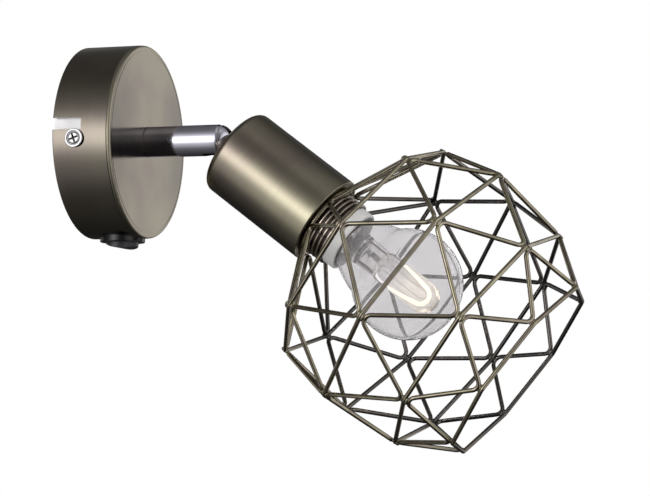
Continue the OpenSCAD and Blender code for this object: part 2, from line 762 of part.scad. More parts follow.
// Sharp corners of a zigzag, found in a few passes so that each bend just clears its joint
function zig_corners(i, pass, low, high) = pass == 0 ? [low, high]
  : zig_corners(i, pass - 1, moved(joint(i - 1), low, high, low_bend[i]),
      moved(joint(i), high, low, high_bend[i]));
function spot(c, angle) = [c[0] * cos(angle), c[0] * sin(angle), c[1]];
function ring_angle(i, k) = cage_turn + ring_turn * (k + (i % 2 == 0 ? 0.5 : 0));

// Stations along a closed wire with a round bend at each corner, each a point and its heading
function bent_route(corners, bends, steps) =
  let (n = len(corners), way = [for (k = [0:n - 1]) unit(corners[(k + 1) % n] - corners[k])])
  [for (k = [0:n - 1]) let (before = way[(k + n - 1) % n], turn = acos(before * way[k]),
      normal = unit(cross(before, way[k])), inward = cross(normal, before),
      middle = corners[k] - bends[k] * tan(turn / 2) * before + bends[k] * inward)
    for (s = [0:steps]) let (a = turn * s / steps)
      [middle + bends[k] * (sin(a) * before - cos(a) * inward), cos(a) * before + sin(a) * inward]];

// A closed round wire through its stations, with one side kept towards the outside of the cage
module closed_wire(route, slope) {
  m = len(route);
  rings = [for (st = route) let (out = unit([st[0][0], st[0][1], 0]), t = st[1],
      facing = out * slope[0] + [0, 0, slope[1]], u = unit(facing - (facing * t) * t), v = cross(t, u))
    for (k = [0:wire_sides - 1]) st[0]
      + wire_r * (cos((k + 0.5) * 360 / wire_sides) * u + sin((k + 0.5) * 360 / wire_sides) * v)];
  skin = [for (i = [0:m - 1]) for (k = [0:wire_sides - 1])
    let (a = i * wire_sides + k, b = i * wire_sides + (k + 1) % wire_sides,
      c = ((i + 1) % m) * wire_sides + k, d = ((i + 1) % m) * wire_sides + (k + 1) % wire_sides)
    each [[a, c, b], [b, c, d]]];
  polyhedron(points = rings, faces = skin);
}

module cage_ring(i) {
  reach = ring_r[i] + ring_bend * (1 / cos(ring_turn / 2) - 1);
  color(brass) on_head() closed_wire(bent_route(
    [for (k = [0:sides - 1]) spot([reach, ring_h[i]], ring_angle(i, k))],
    [for (k = [0:sides - 1]) ring_bend], 3), [1, 0]);
}

module cage_zigzag(i) {
  pair = zig_corners(i, 6, joint(i - 1), joint(i));
  rise = joint(i) - joint(i - 1);
  color(brass) on_head() closed_wire(bent_route(
    [for (k = [0:sides - 1]) each [spot(pair[0], ring_angle(i - 1, k)),
      spot(pair[1], ring_angle(i - 1, k) + ring_turn / 2)]],
    [for (k = [0:sides - 1]) each [low_bend[i], high_bend[i]]], 4), [rise[1], -rise[0]]);
}

module cage_base_ring() {
  color(brass) on_head() translate([0, 0, base_ring_h])
    rotate_extrude() translate([base_ring_r, 0]) circle(r = wire_r, $fn = 24);
}

module cage_ring_1() {
  cage_ring(1);
}

module cage_ring_2() {
  cage_ring(2);
}

module cage_ring_3() {
  cage_ring(3);
}

module cage_ring_4() {
  cage_ring(4);
}

module cage_zigzag_1() {
  cage_zigzag(1);
}

module cage_zigzag_2() {
  cage_zigzag(2);
}

module cage_zigzag_3() {
  cage_zigzag(3);
}

module cage_zigzag_4() {
  cage_zigzag(4);
}

// Screw cap of the bulb
cap_foot = bulb_foot + 3.6;

module bulb_cap() {
  p = 2.8;
  root = cap_r - 0.45;
  turns = floor((cap_front - cap_foot - 4) / p);
  color(zinc) on_head() rotate_extrude() polygon(concat(
    [[root - 0.5, cap_front], [root - 0.5, cap_foot], [root, cap_foot]],
    [for (i = [0:turns - 1]) let (z = cap_foot + 0.6 + i * p) each [[root, z], [cap_r, z + 0.3 * p],
      [cap_r, z + 0.6 * p], [root, z + 0.9 * p]]],
    [[root, cap_front - 2], [root + 0.2, cap_front - 1.8], [root + 0.2, cap_front]]));
}

module bulb_insulator() {
  color(black) on_head() rotate_extrude() polygon([[2.4, bulb_foot + 0.9], [3.4, bulb_foot + 0.9],
    [cap_r - 0.45, cap_foot - fit_gap], [cap_r - 1.1, cap_foot - fit_gap], [cap_r - 1.1, cap_foot + 1.4],
    [2.4, cap_foot + 1.4]]);
}

module bulb_contact() {
  color(copper) on_head() {
    translate([0, 0, bulb_foot]) cylinder(r1 = 1.8, r2 = 2.2, h = 0.9);
    translate([0, 0, bulb_foot + 0.9 - e]) cylinder(r = 2.3, h = 1.6);
  }
}

// Outline of the glass: a neck that swells into the ball
neck_low_r = cap_r + 1;
neck_high_r = 11.4;
module glass_outline(inset) {
  ball_r = bulb_d / 2 - inset;
  meet = asin((neck_high_r + 4.6) / (bulb_d / 2));
  meet_r = ball_r * sin(meet);
  meet_h = bulb_centre - ball_r * cos(meet);
  intersection() {
    translate([0, bulb_centre]) circle(r = ball_r, $fn = 128);
    translate([0, meet_h]) square([ball_r, 2 * ball_r + 1]);
  }
  polygon([[0, cap_front + inset], [neck_low_r - inset, cap_front + inset],
    [neck_low_r + 1.2 - inset, cap_front + 1.2], [neck_high_r - inset, holder_front + 0.4],
    [(neck_high_r + meet_r - inset) / 2 - 0.5, (holder_front + meet_h) / 2 + 0.4], [meet_r, meet_h + e],
    [0, meet_h + e]]);
}

module bulb_glass() {
  color("#c8c8d0", 0.35) on_head() rotate_extrude($fn = 128) difference() {
    glass_outline(0);
    glass_outline(bulb_glass_t);
  }
}

// Glass foot that carries the capsule inside the bulb
stem_top = holder_front + 6;
stem_r = 6.4;

module bulb_stem() {
  color("#8a8580") on_head() tube(stem_r, 2.2, cap_front + bulb_glass_t + fit_gap, stem_top);
}

capsule_low = stem_top + 0.2;
capsule_high = bulb_centre + 15;
capsule_r = capsule_d / 2;
// Half the distance between the capsule's two wires
capsule_pin = 4.4;
// Filament bent to a narrow A: the lean of its legs, its bend and its top
filament_lean = 13;
filament_bend = 1.4;
filament_high = capsule_high - 7;
filament_leg = (capsule_pin - filament_bend * cos(filament_lean)) / sin(filament_lean);
filament_low = filament_high + filament_bend * sin(filament_lean) - filament_leg * cos(filament_lean);

module capsule_outline(inset) {
  r = capsule_r - inset;
  translate([0, capsule_low + 9 + inset]) square([r, capsule_high - capsule_low - 9 - inset - capsule_r]);
  intersection() {
    translate([0, capsule_high - capsule_r]) circle(r = r);
    translate([0, capsule_low]) square([r, 100]);
  }
}

module capsule_glass() {
  color("#d8d8e0", 0.35) on_head() rotate([0, 0, 90]) {
    difference() {
      rotate_extrude() capsule_outline(0);
      rotate_extrude() capsule_outline(1);
      for (s = [-1, 1]) translate([s * capsule_pin, 0, capsule_low]) cylinder(r = 0.45, h = 12);
    }
    difference() {
      translate([-capsule_r + 0.5, -1.6, capsule_low]) cube([capsule_d - 1, 3.2, 9 + e]);
      for (s = [-1, 1]) translate([s * capsule_pin, 0, capsule_low - 1]) cylinder(r = 0.45, h = 12);
    }
  }
}

module capsule_filament() {
  color("#f5e6c0") on_head() rotate([0, 0, 90]) translate([0, 0, filament_high]) {
    rotate([90, 0, 0]) rotate([0, 0, filament_lean]) rotate_extrude(angle = 180 - 2 * filament_lean)
      translate([filament_bend, 0]) circle(r = 0.7);
    for (a = [0, 180]) rotate([0, 0, a])
      translate([filament_bend * cos(filament_lean), 0, filament_bend * sin(filament_lean)])
        rotate([0, 180 - filament_lean, 0]) cylinder(r = 0.7, h = filament_leg);
  }
}

module capsule_wires() {
  color(zinc) on_head() rotate([0, 0, 90]) for (s = [-1, 1]) translate([s * capsule_pin, 0, stem_top])
    cylinder(r = 0.4, h = filament_low - 0.2 - stem_top);
}

canopy();
wall_bracket();
side_screws();
terminal_block();
terminal_sleeves();
terminal_screws();
block_screw();
cable_grommet();
earth_screw();
earth_lead();
live_lead();
neutral_lead();
switched_lead();
switch_housing();
switch_terminals();
switch_rocker();
arm_tube();
arm_nipple();
arm_washer();
arm_nut();
joint_spring();
ball_seat();
arm_leads();
knuckle_ball();
stud_washer();
stud_nut();
lamp_sleeve();
sleeve_ring();
holder_thread();
holder_body();
holder_centre_contact();
holder_side_contact();
holder_terminals();
head_leads();
cage_base_ring();
cage_ring_1();
cage_ring_2();
cage_ring_3();
cage_ring_4();
cage_zigzag_1();
cage_zigzag_2();
cage_zigzag_3();
cage_zigzag_4();
bulb_cap();
bulb_insulator();
bulb_contact();
bulb_glass();
bulb_stem();
capsule_glass();
capsule_filament();
capsule_wires();
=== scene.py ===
import math

import bpy
from mathutils import Matrix, Vector


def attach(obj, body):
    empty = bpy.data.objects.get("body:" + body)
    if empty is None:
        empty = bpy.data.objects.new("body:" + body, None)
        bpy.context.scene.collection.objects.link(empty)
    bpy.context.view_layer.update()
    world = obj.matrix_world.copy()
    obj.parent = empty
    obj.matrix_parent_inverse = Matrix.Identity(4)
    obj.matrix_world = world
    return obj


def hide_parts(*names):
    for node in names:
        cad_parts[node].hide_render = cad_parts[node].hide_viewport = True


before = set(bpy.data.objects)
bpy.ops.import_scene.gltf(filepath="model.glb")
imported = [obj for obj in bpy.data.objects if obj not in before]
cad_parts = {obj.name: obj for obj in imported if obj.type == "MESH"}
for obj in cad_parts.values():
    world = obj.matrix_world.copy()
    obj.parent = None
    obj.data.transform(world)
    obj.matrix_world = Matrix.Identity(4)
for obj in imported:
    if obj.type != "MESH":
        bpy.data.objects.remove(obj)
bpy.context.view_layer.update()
mm = 0.001

# distance of the ball joint's centre from the wall, in millimetres
pivotOut = 57.5
# angle by which the lamp hangs below the arm at rest, in degrees
headTilt = 37

# the canopy's frame: z runs out from the wall, y is up
wallFrame = Matrix.Rotation(math.radians(90), 4, "X")
# the lamp's frame: z runs along the lamp from the ball joint's centre
headFrame = wallFrame @ Matrix.Translation((0, 0, pivotOut * mm)) \
    @ Matrix.Rotation(math.radians(headTilt), 4, "X")

cameraView = {"place": (-0.73532, -0.33467, -0.10082), "turn": (94.1394, -0.6422, -72.5218),
              "lens": 106.328, "sensor": 36, "near": 0.01}

bpy.ops.object.camera_add(
    location=cameraView["place"], rotation=[math.radians(a) for a in cameraView["turn"]])
camera = bpy.context.active_object
camera.name = "photoCamera"
camera.data.lens = cameraView["lens"]
camera.data.sensor_width = cameraView["sensor"]
camera.data.clip_start = cameraView["near"]
bpy.context.scene.camera = camera
bpy.context.scene.view_settings.view_transform = "Standard"
print("camera ready")


# a wired socket that takes part in sums, and the node sheet it lives on
class Wire:
    def __init__(self, sheet, socket):
        self.sheet = sheet
        self.socket = socket

    def maths(self, operation, first, second=None):
        values = {0: first} if second is None else {0: first, 1: second}
        return self.sheet.node("ShaderNodeMath", {"operation": operation}, values)

    def __add__(self, other):
        return self.maths("ADD", self, other)

    __radd__ = __add__

    def __sub__(self, other):
        return self.maths("SUBTRACT", self, other)

    def __mul__(self, other):
        return self.maths("MULTIPLY", self, other)

    __rmul__ = __mul__

    def __truediv__(self, other):
        return self.maths("DIVIDE", self, other)

    def __abs__(self):
        return self.maths("ABSOLUTE", self)

    def root(self):
        return self.maths("SQRT", self)

    def sine(self):
        return self.maths("SINE", self)

    def exponent(self):
        return self.maths("EXPONENT", self)

    def atLeast(self, other):
        return self.maths("MAXIMUM", self, other)

    def atMost(self, other):
        return self.maths("MINIMUM", self, other)


class Sheet:
    def __init__(self, tree):
        self.tree = tree
        tree.nodes.clear()

    def node(self, kind, settings=None, sockets=None, out=0):
        new = self.tree.nodes.new(kind)
        for key, value in (settings or {}).items():
            setattr(new, key, value)
        for key, value in (sockets or {}).items():
            if isinstance(value, Wire):
                self.tree.links.new(value.socket, new.inputs[key])
            else:
                new.inputs[key].default_value = value
        return Wire(self, new.outputs[out])

    def mix(self, amount, low, high):
        return self.node("ShaderNodeMixRGB", None, {0: amount, 1: low, 2: high})

    def noise(self, vector, scale, detail=2.0, roughness=0.5):
        return self.node("ShaderNodeTexNoise", None,
                         {"Vector": vector, "Scale": scale, "Detail": detail, "Roughness": roughness})

    def place(self, turn=(0, 0, 0), shift=(0, 0, 0)):
        where = self.node("ShaderNodeTexCoord", out="Object")
        return self.node("ShaderNodeMapping", {"vector_type": "TEXTURE"},
                         {"Vector": where, "Location": shift, "Rotation": turn})

    def parts(self, vector):
        return [self.node("ShaderNodeSeparateXYZ", None, {0: vector}, out=i) for i in range(3)]

    def vector(self, x, y, z):
        return self.node("ShaderNodeCombineXYZ", None, {0: x, 1: y, 2: z})

    def between(self, value, low, high):
        return self.node("ShaderNodeMapRange", {"clamp": True},
                         {"Value": value, "From Min": low, "From Max": high})

    def bump(self, height, distance):
        return self.node("ShaderNodeBump", None, {"Height": height, "Distance": distance, "Strength": 1.0})


def newFinish(name):
    material = bpy.data.materials.new(name)
    material.use_nodes = True
    return material, Sheet(material.node_tree)


def surface(sheet, sockets):
    shader = sheet.node("ShaderNodeBsdfPrincipled", None, sockets)
    out = sheet.tree.nodes.new("ShaderNodeOutputMaterial")
    sheet.tree.links.new(shader.socket, out.inputs["Surface"])


wallTurn = wallFrame.to_euler()
headTurn = headFrame.to_euler()
headShift = headFrame.to_translation()

# the studio is white for the camera; metals mirror soft glows, a backdrop and two pale walls instead.
# each glow has a direction, a brightness and a number that is larger the smaller the glow is
studio = {
    "glows": [((-0.91, 0.40, 0.05), 2.9, 23), ((-0.70, 0.54, -0.42), 0.48, 14),
              ((-0.88, 0.30, 0.42), 0.46, 9), ((-0.62, 0.74, -0.28), 0.25, 25),
              ((-0.30, 0.75, -0.58), 0.13, 5), ((-0.05, -0.40, 0.92), 0.24, 7),
              ((-0.42, -0.25, 0.87), 0.17, 24)],
    "back": (0.93, -0.36, 0.05), "backLight": 0.90, "backHalf": 0.14, "backSoft": 0.18,
    "backTop": 0.30, "backFade": 0.33, "backEdge": (0.15, 0.55),
    "front": (-0.15, -1.0, 0.0), "frontLight": 0.90, "frontEdge": (0.55, 0.90),
    "wall": (0.45, 0.85, 0.25), "wallLight": 0.45, "wallEdge": (0.80, 0.95),
    "ceiling": 0.082, "ground": 0.022, "horizon": (-0.15, 0.35), "fill": 0.62}

world = bpy.data.worlds.new("studio")
bpy.context.scene.world = world
world.use_nodes = True
sky = Sheet(world.node_tree)
heading = sky.node("ShaderNodeTexCoord", out="Generated")


def facingTo(way):
    return sky.node("ShaderNodeVectorMath", {"operation": "DOT_PRODUCT"},
                    {0: heading, 1: Vector(way).normalized()}, out="Value")


def glow(centre, light, focus):
    return light * ((facingTo(centre) - 1.0) * focus).exponent()


height = sky.parts(heading)[2]
roomLight = studio["ground"] + sky.between(height, *studio["horizon"]) \
    * (studio["ceiling"] - studio["ground"])
# the backdrop is a tall white strip behind the wall light's far side
backWay = Vector(studio["back"]).normalized()
backSide = backWay.cross(Vector((0, 0, 1))).normalized()
backdrop = sky.between(abs(facingTo(backSide)), studio["backHalf"] + studio["backSoft"], studio["backHalf"]) \
    * sky.between(facingTo(backWay), *studio["backEdge"]) \
    * sky.between(abs(height), studio["backTop"] + studio["backFade"], studio["backTop"])
reflected = roomLight + backdrop * studio["backLight"] \
    + sky.between(facingTo(studio["front"]), *studio["frontEdge"]) * studio["frontLight"] \
    + sky.between(facingTo(studio["wall"]), *studio["wallEdge"]) * studio["wallLight"]
for centre, light, focus in studio["glows"]:
    reflected = reflected + glow(centre, light, focus)
rays = sky.tree.nodes.new("ShaderNodeLightPath")


def ray(name):
    return Wire(sky, rays.outputs[name])


lit = sky.node("ShaderNodeBackground", None, {"Color": (1, 1, 1, 1), "Strength": studio["fill"]})
mirrored = sky.node("ShaderNodeBackground", None, {"Color": (1, 0.985, 0.97, 1), "Strength": reflected})
white = sky.node("ShaderNodeBackground", None, {"Color": (1, 1, 1, 1), "Strength": 1.0})
inMetal = sky.node("ShaderNodeMixShader", None, {0: ray("Is Glossy Ray"), 1: lit, 2: mirrored})
seen = sky.node("ShaderNodeMixShader", None,
                {0: ray("Is Camera Ray").atLeast(ray("Is Transmission Ray")), 1: inMetal, 2: white})
skyOut = sky.tree.nodes.new("ShaderNodeOutputWorld")
sky.tree.links.new(seen.socket, skyOut.inputs["Surface"])

lamps = {"key": {"place": (-1.1, -0.2, 0.9), "size": 0.9, "power": 9.0},
         "side": {"place": (0.6, -1.1, 0.5), "size": 0.8, "power": 4.0}}
lampAim = Vector((0, -0.1, -0.04))
for lampName, lamp in lamps.items():
    bpy.ops.object.light_add(type="AREA", location=lamp["place"])
    light = bpy.context.active_object
    light.name = lampName + "Lamp"
    light.data.size = lamp["size"]
    light.data.energy = lamp["power"]
    light.visible_glossy = False
    light.rotation_euler = (lampAim - light.location).to_track_quat("-Z", "Y").to_euler()

floorPlane = {"size": 5.0, "place": (0, -0.1, -0.42)}
bpy.ops.mesh.primitive_plane_add(size=floorPlane["size"], location=floorPlane["place"])
floor = bpy.context.active_object
floor.name = "studioFloor"
floorFinish, sheet = newFinish("paleFloor")
speckle = sheet.noise(sheet.place(), 8, 3)
surface(sheet, {"Base Color": sheet.mix(speckle, (0.93, 0.93, 0.93, 1), (0.97, 0.97, 0.97, 1)),
                "Roughness": 0.9})
floor.data.materials.append(floorFinish)
floor.visible_glossy = False
print("studio ready")


# finishes
def brushedBrass(name, turn, shift, tone, polish, wearAndHighlights, fanShadeStrength=0.0):
    # plated brass with fine brushing round the piece's axis, darker where the lacquer is thick.
    # each place that is worn and given a painted highlight is (start height, full height, start radius, full
    # radius), in millimetres
    material, sheet = newFinish(name)
    x, y, z = sheet.parts(sheet.place(turn, shift))
    radius = (x * x + y * y).root()
    along = z - radius

    def strokes(across, lengthwise, roughness):
        return sheet.noise(sheet.vector(x * across, y * across, along * lengthwise), 1.0, 2, roughness)

    fine = strokes(60, 9000, 0.6)
    band = strokes(30, 1200, 0.5)
    cloud = sheet.noise(sheet.vector(x * 38, y * 38, z * 38), 1.0, 2, 0.5)
    grit = sheet.noise(sheet.vector(x, y, z), 1500, 3, 0.7)
    tarnish = sheet.between(band * 0.15 + cloud * 0.85, 0.36, 0.64)
    colour = sheet.mix(tarnish, tone["deep"], tone["bright"])
    # painted shade: turned faces are darkened towards both sides, in fans, where a spun face mirrors less
    # light
    sideways = abs(x) / (radius + 0.1 * mm)
    paintedFanShade = sheet.between(sideways, 0.50, 0.97) * sheet.between(radius, 12 * mm, 30 * mm) * fanShadeStrength
    colour = sheet.mix(paintedFanShade, colour, (0.05, 0.05, 0.055, 1))
    # the pressed edges are rubbed paler and duller, and the paler tone also stands in as a painted highlight
    # on them
    wornAndLit = 0.0
    for low, full, inside, outside in wearAndHighlights:
        paleLitBand = sheet.between(z, low * mm, full * mm) * sheet.between(radius, inside * mm, outside * mm)
        wornAndLit = paleLitBand + wornAndLit
    wornAndLit = wornAndLit.atMost(1.0) * (0.75 + cloud * 0.5)
    surface(sheet, {
        "Base Color": sheet.mix(wornAndLit, colour, tone["wornAndLit"]), "Metallic": 1.0,
        "Roughness": polish + (band - 0.5) * 0.03 + wornAndLit * 0.2,
        "Normal": sheet.bump(fine + grit, 0.01 * mm)})
    return material


canopyTone = {"deep": (0.250, 0.215, 0.184, 1), "bright": (0.308, 0.281, 0.219, 1),
              "wornAndLit": (0.38, 0.35, 0.27, 1)}
sleeveTone = {"deep": (0.252, 0.216, 0.184, 1), "bright": (0.312, 0.293, 0.215, 1),
              "wornAndLit": (0.38, 0.35, 0.27, 1)}
canopyBrass = brushedBrass("antiqueBrassCanopy", wallTurn, (0, 0, 0), canopyTone, polish=0.13,
                           wearAndHighlights=[(23.2, 23.6, 39.0, 39.3)], fanShadeStrength=0.32)
sleeveBrass = brushedBrass("antiqueBrassSleeve", headTurn, headShift, sleeveTone, polish=0.15,
                           wearAndHighlights=[(55.9, 56.2, 17, 17.2), (7.6, 6.9, 15.0, 16.2)])


def wireFinish(name, tone, rough):
    # antique wire with painted shade: darker and greyer on one half of the cage
    material, sheet = newFinish(name)
    where = sheet.place(headTurn, headShift)
    cloud = sheet.noise(where, 90, 3, 0.6)
    grain = sheet.noise(where, 900, 2)
    colour = sheet.mix(sheet.between(cloud, 0.35, 0.68), tone["deep"], tone["bright"])
    # the lacquer is rosy in places
    rosy = sheet.between(sheet.noise(where, 210, 2, 0.6), 0.50, 0.62) * 0.7
    colour = sheet.mix(rosy, colour, tone["rosy"])
    # painted shade: the half of the cage that mirrors darker surroundings is coloured darker
    side = sheet.parts(where)[0] + (cloud - 0.5) * (30 * mm)
    colour = sheet.mix(sheet.between(side, -4 * mm, 24 * mm), colour, tone["shadedHalfTone"])
    surface(sheet, {"Base Color": colour, "Metallic": 1.0, "Roughness": rough + (cloud - 0.5) * 0.1,
                    "Normal": sheet.bump(grain, 2e-6)})
    return material


wireTone = {"deep": (0.25, 0.222, 0.165, 1), "bright": (0.50, 0.465, 0.33, 1),
            "rosy": (0.38, 0.315, 0.275, 1), "shadedHalfTone": (0.145, 0.136, 0.132, 1)}
weldTone = {"deep": (0.24, 0.215, 0.16, 1), "bright": (0.40, 0.37, 0.265, 1),
            "rosy": (0.32, 0.27, 0.23, 1), "shadedHalfTone": (0.16, 0.15, 0.14, 1)}
cageBrass = wireFinish("antiqueBrassWire", wireTone, rough=0.11)
weldBrass = wireFinish("weldedJoint", weldTone, rough=0.34)


def plainMetal(name, deep, bright, rough, grain=900, depth=4e-6):
    material, sheet = newFinish(name)
    where = sheet.place()
    cloud = sheet.noise(where, 120, 3)
    fine = sheet.noise(where, grain, 2)
    surface(sheet, {"Base Color": sheet.mix(sheet.between(cloud, 0.3, 0.7), deep, bright), "Metallic": 1.0,
                    "Roughness": rough + (cloud - 0.5) * rough * 0.5,
                    "Normal": sheet.bump(fine, depth)})
    return material


def chromeFinish(name, slotHalf, slotFoot, hollow):
    # bluish chrome with painted shade: nearly black in the slot and in the hollow round the joint's centre
    material, sheet = newFinish(name)
    x, y, z = sheet.parts(sheet.place(wallTurn))
    cloud = sheet.noise(sheet.vector(x, y, z), 120, 3)
    fine = sheet.noise(sheet.vector(x, y, z), 500, 2)
    plated = sheet.mix(sheet.between(cloud, 0.3, 0.7), (0.76, 0.75, 0.88, 1), (0.86, 0.85, 0.97, 1))
    depth = z - pivotOut * mm
    inSlot = sheet.between(abs(x), (slotHalf + 0.12) * mm, slotHalf * mm) \
        * sheet.between(z, (slotFoot - 0.5) * mm, slotFoot * mm)
    inHollow = sheet.between((x * x + y * y + depth * depth).root(), (hollow + 0.5) * mm, (hollow + 0.3) * mm)
    recessShade = inSlot.atLeast(inHollow)
    surface(sheet, {"Base Color": sheet.mix(recessShade, plated, (0.03, 0.03, 0.028, 1)), "Metallic": 1.0,
                    "Roughness": 0.07 + (cloud - 0.5) * 0.035 + recessShade * 0.3, "Normal": sheet.bump(fine, 6e-7)})
    return material


armChrome = chromeFinish("armChrome", slotHalf=2.78, slotFoot=50, hollow=4.3)
zincSteel = plainMetal("zincSteel", (0.72, 0.73, 0.76, 1), (0.90, 0.90, 0.92, 1), 0.38, 1500)
contactBrass = plainMetal("contactBrass", (0.66, 0.50, 0.24, 1), (0.84, 0.68, 0.38, 1), 0.28)
ringBrass = plainMetal("ringBrass", (0.30, 0.27, 0.21, 1), (0.42, 0.38, 0.30, 1), 0.34, 1100, 5e-6)
capNickel = plainMetal("capNickel", (0.55, 0.54, 0.52, 1), (0.78, 0.76, 0.72, 1), 0.24)
# painted shade: the ball stud, seen in the arm's slot, is coloured nearly black for the shade inside the arm
shadedJointSteel = plainMetal("shadedJointSteel", (0.030, 0.029, 0.022, 1), (0.060, 0.057, 0.046, 1), 0.30)
bracketZinc = plainMetal("bracketZinc", (0.66, 0.66, 0.67, 1), (0.74, 0.74, 0.75, 1), 0.46, 1500)
leadInBrown = plainMetal("leadInBrown", (0.12, 0.080, 0.062, 1), (0.24, 0.165, 0.13, 1), 0.36)


def plainPlastic(name, deep, bright, rough, grain=1200, depth=8e-6):
    material, sheet = newFinish(name)
    where = sheet.place()
    cloud = sheet.noise(where, 60, 3)
    fine = sheet.noise(where, grain, 3)
    surface(sheet, {"Base Color": sheet.mix(sheet.between(cloud, 0.3, 0.7), deep, bright),
                    "Roughness": rough + (fine - 0.5) * 0.08, "Normal": sheet.bump(fine, depth)})
    return material


holderWhite = plainPlastic("holderWhite", (0.60, 0.595, 0.58, 1), (0.70, 0.695, 0.68, 1), 0.38)
switchBlack = plainPlastic("switchBlack", (0.005, 0.0045, 0.006, 1), (0.009, 0.008, 0.010, 1), 0.22,
                           1500, 5e-6)
rockerBlack = plainPlastic("rockerBlack", (0.024, 0.022, 0.027, 1), (0.036, 0.033, 0.040, 1), 0.36,
                           1500, 6e-6)
grommetRubber = plainPlastic("grommetRubber", (0.016, 0.016, 0.016, 1), (0.03, 0.03, 0.03, 1), 0.65,
                             900, 2e-5)
capGlass = plainPlastic("capGlass", (0.008, 0.008, 0.012, 1), (0.02, 0.018, 0.024, 1), 0.12)
leadBrown = plainPlastic("leadBrown", (0.10, 0.042, 0.020, 1), (0.16, 0.068, 0.034, 1), 0.42, 2500)
leadBlue = plainPlastic("leadBlue", (0.022, 0.060, 0.20, 1), (0.040, 0.095, 0.28, 1), 0.42, 2500)


def screwFinish(name, face):
    # plated steel with painted shade in the recesses of its head; face is the canopy's radius there
    material, sheet = newFinish(name)
    where = sheet.place()
    cloud = sheet.noise(where, 300, 2)
    outOfRecessShade = sheet.between(abs(sheet.parts(where)[0]), (face + 0.3) * mm, (face + 1.1) * mm)
    pale = sheet.mix(cloud, (0.66, 0.66, 0.69, 1), (0.80, 0.80, 0.82, 1))
    surface(sheet, {"Base Color": sheet.mix(outOfRecessShade, (0.06, 0.055, 0.055, 1), pale), "Metallic": 1.0,
                    "Roughness": 0.34 + (cloud - 0.5) * 0.12, "Normal": sheet.bump(cloud, 3e-6)})
    return material


screwSteel = screwFinish("screwSteel", face=40.2)


def threadFinish(name, root, crest):
    # dark bronze with painted shade in the thread's roots and a painted highlight on its crests, between the
    # two radii
    material, sheet = newFinish(name)
    x, y, z = sheet.parts(sheet.place(headTurn, headShift))
    radius = (x * x + y * y).root()
    cloud = sheet.noise(sheet.vector(x, y, z), 160, 3)
    grain = sheet.noise(sheet.vector(x, y, z), 1100, 2)
    paleLitBand = sheet.between(radius + (cloud - 0.5) * (0.3 * mm), root * mm, crest * mm)
    surface(sheet, {"Base Color": sheet.mix(paleLitBand, (0.060, 0.050, 0.047, 1), (0.54, 0.47, 0.405, 1)),
                    "Metallic": 1.0, "Roughness": 0.24 + (grain - 0.5) * 0.1,
                    "Normal": sheet.bump(grain, 5e-6)})
    return material


threadBronze = threadFinish("threadBronze", root=13.6, crest=14.15)


def earthLeadFinish():
    # green with a yellow stripe that winds along
    material, sheet = newFinish("leadGreenYellow")
    where = sheet.place()
    x, y, z = sheet.parts(where)
    stripe = ((x + z * 0.4 + y * 1.7) * 2400).sine()
    fine = sheet.noise(where, 2500, 2)
    colour = sheet.mix(sheet.between(stripe, -0.1, 0.1), (0.05, 0.24, 0.04, 1), (0.68, 0.58, 0.05, 1))
    surface(sheet, {"Base Color": colour, "Roughness": 0.40 + (fine - 0.5) * 0.1,
                    "Normal": sheet.bump(fine, 6e-6)})
    return material


leadEarth = earthLeadFinish()


def clearGlass(name, deep, bright, rough, haze, swirls, bend, clear, lit=0.0):
    # lit glass scatters the filament's light where the filament is
    material, sheet = newFinish(name)
    where = sheet.place(headTurn, headShift)
    swirl = sheet.noise(where, swirls, 2)
    along = sheet.parts(where)[2]
    scatter = sheet.between(along, 92 * mm, 101 * mm) * sheet.between(along, 114 * mm, 109 * mm) \
        * (0.6 + swirl * 0.8)
    surface(sheet, {"Base Color": sheet.mix(sheet.between(swirl, 0.35, 0.65), deep, bright),
                    "Emission Color": sheet.mix(scatter, (0, 0, 0, 1), (1.0, 0.86, 0.60, 1)),
                    "Emission Strength": lit, "Roughness": rough + swirl * haze,
                    "Transmission Weight": clear, "IOR": bend, "Normal": sheet.bump(swirl, 3e-6)})
    return material


bulbClear = clearGlass("bulbGlass", (0.83, 0.82, 0.83, 1), (0.90, 0.885, 0.895, 1),
                       rough=0.0, haze=0.004, swirls=45, bend=1.26, clear=0.885)
capsuleClear = clearGlass("capsuleGlass", (0.94, 0.93, 0.93, 1), (1.0, 0.99, 0.99, 1),
                          rough=0.0, haze=0.02, swirls=200, bend=1.32, clear=0.96, lit=0.085)
pinchClear = clearGlass("pinchGlass", (0.90, 0.88, 0.88, 1), (1.0, 0.99, 0.99, 1),
                        rough=0.05, haze=0.12, swirls=330, bend=1.16, clear=0.86, lit=0.02)
stemClear = clearGlass("stemGlass", (0.30, 0.25, 0.24, 1), (0.96, 0.94, 0.93, 1),
                       rough=0.03, haze=0.12, swirls=420, bend=1.22, clear=1.0)


def filamentFinish():
    # the turns of the coil are only drawn, as bright and dim bands
    material, sheet = newFinish("glowingFilament")
    coil = (sheet.parts(sheet.place(headTurn, headShift))[2] * 9000).sine()
    glowColour = sheet.mix(sheet.between(coil, -1, 1), (1.0, 0.90, 0.66, 1), (1.0, 0.97, 0.88, 1))
    surface(sheet, {"Base Color": (0.6, 0.55, 0.45, 1), "Roughness": 0.4, "Emission Color": glowColour,
                    "Emission Strength": 1.35, "Normal": sheet.bump(coil, 5e-5)})
    return material


filamentGlow = filamentFinish()
print("finishes ready")


# modelling helpers
def clearSelection():
    bpy.ops.object.select_all(action="DESELECT")


def pick(piece):
    clearSelection()
    piece.select_set(True)
    bpy.context.view_layer.objects.active = piece


def bakePlace():
    # puts the active object's place, turn and size into its mesh
    bpy.ops.object.transform_apply(location=True, rotation=True, scale=True)


def joinPoints():
    # in edit mode, joins the points that lie on each other
    bpy.ops.mesh.select_all(action="SELECT")
    bpy.ops.mesh.remove_doubles(threshold=0.002 * mm)


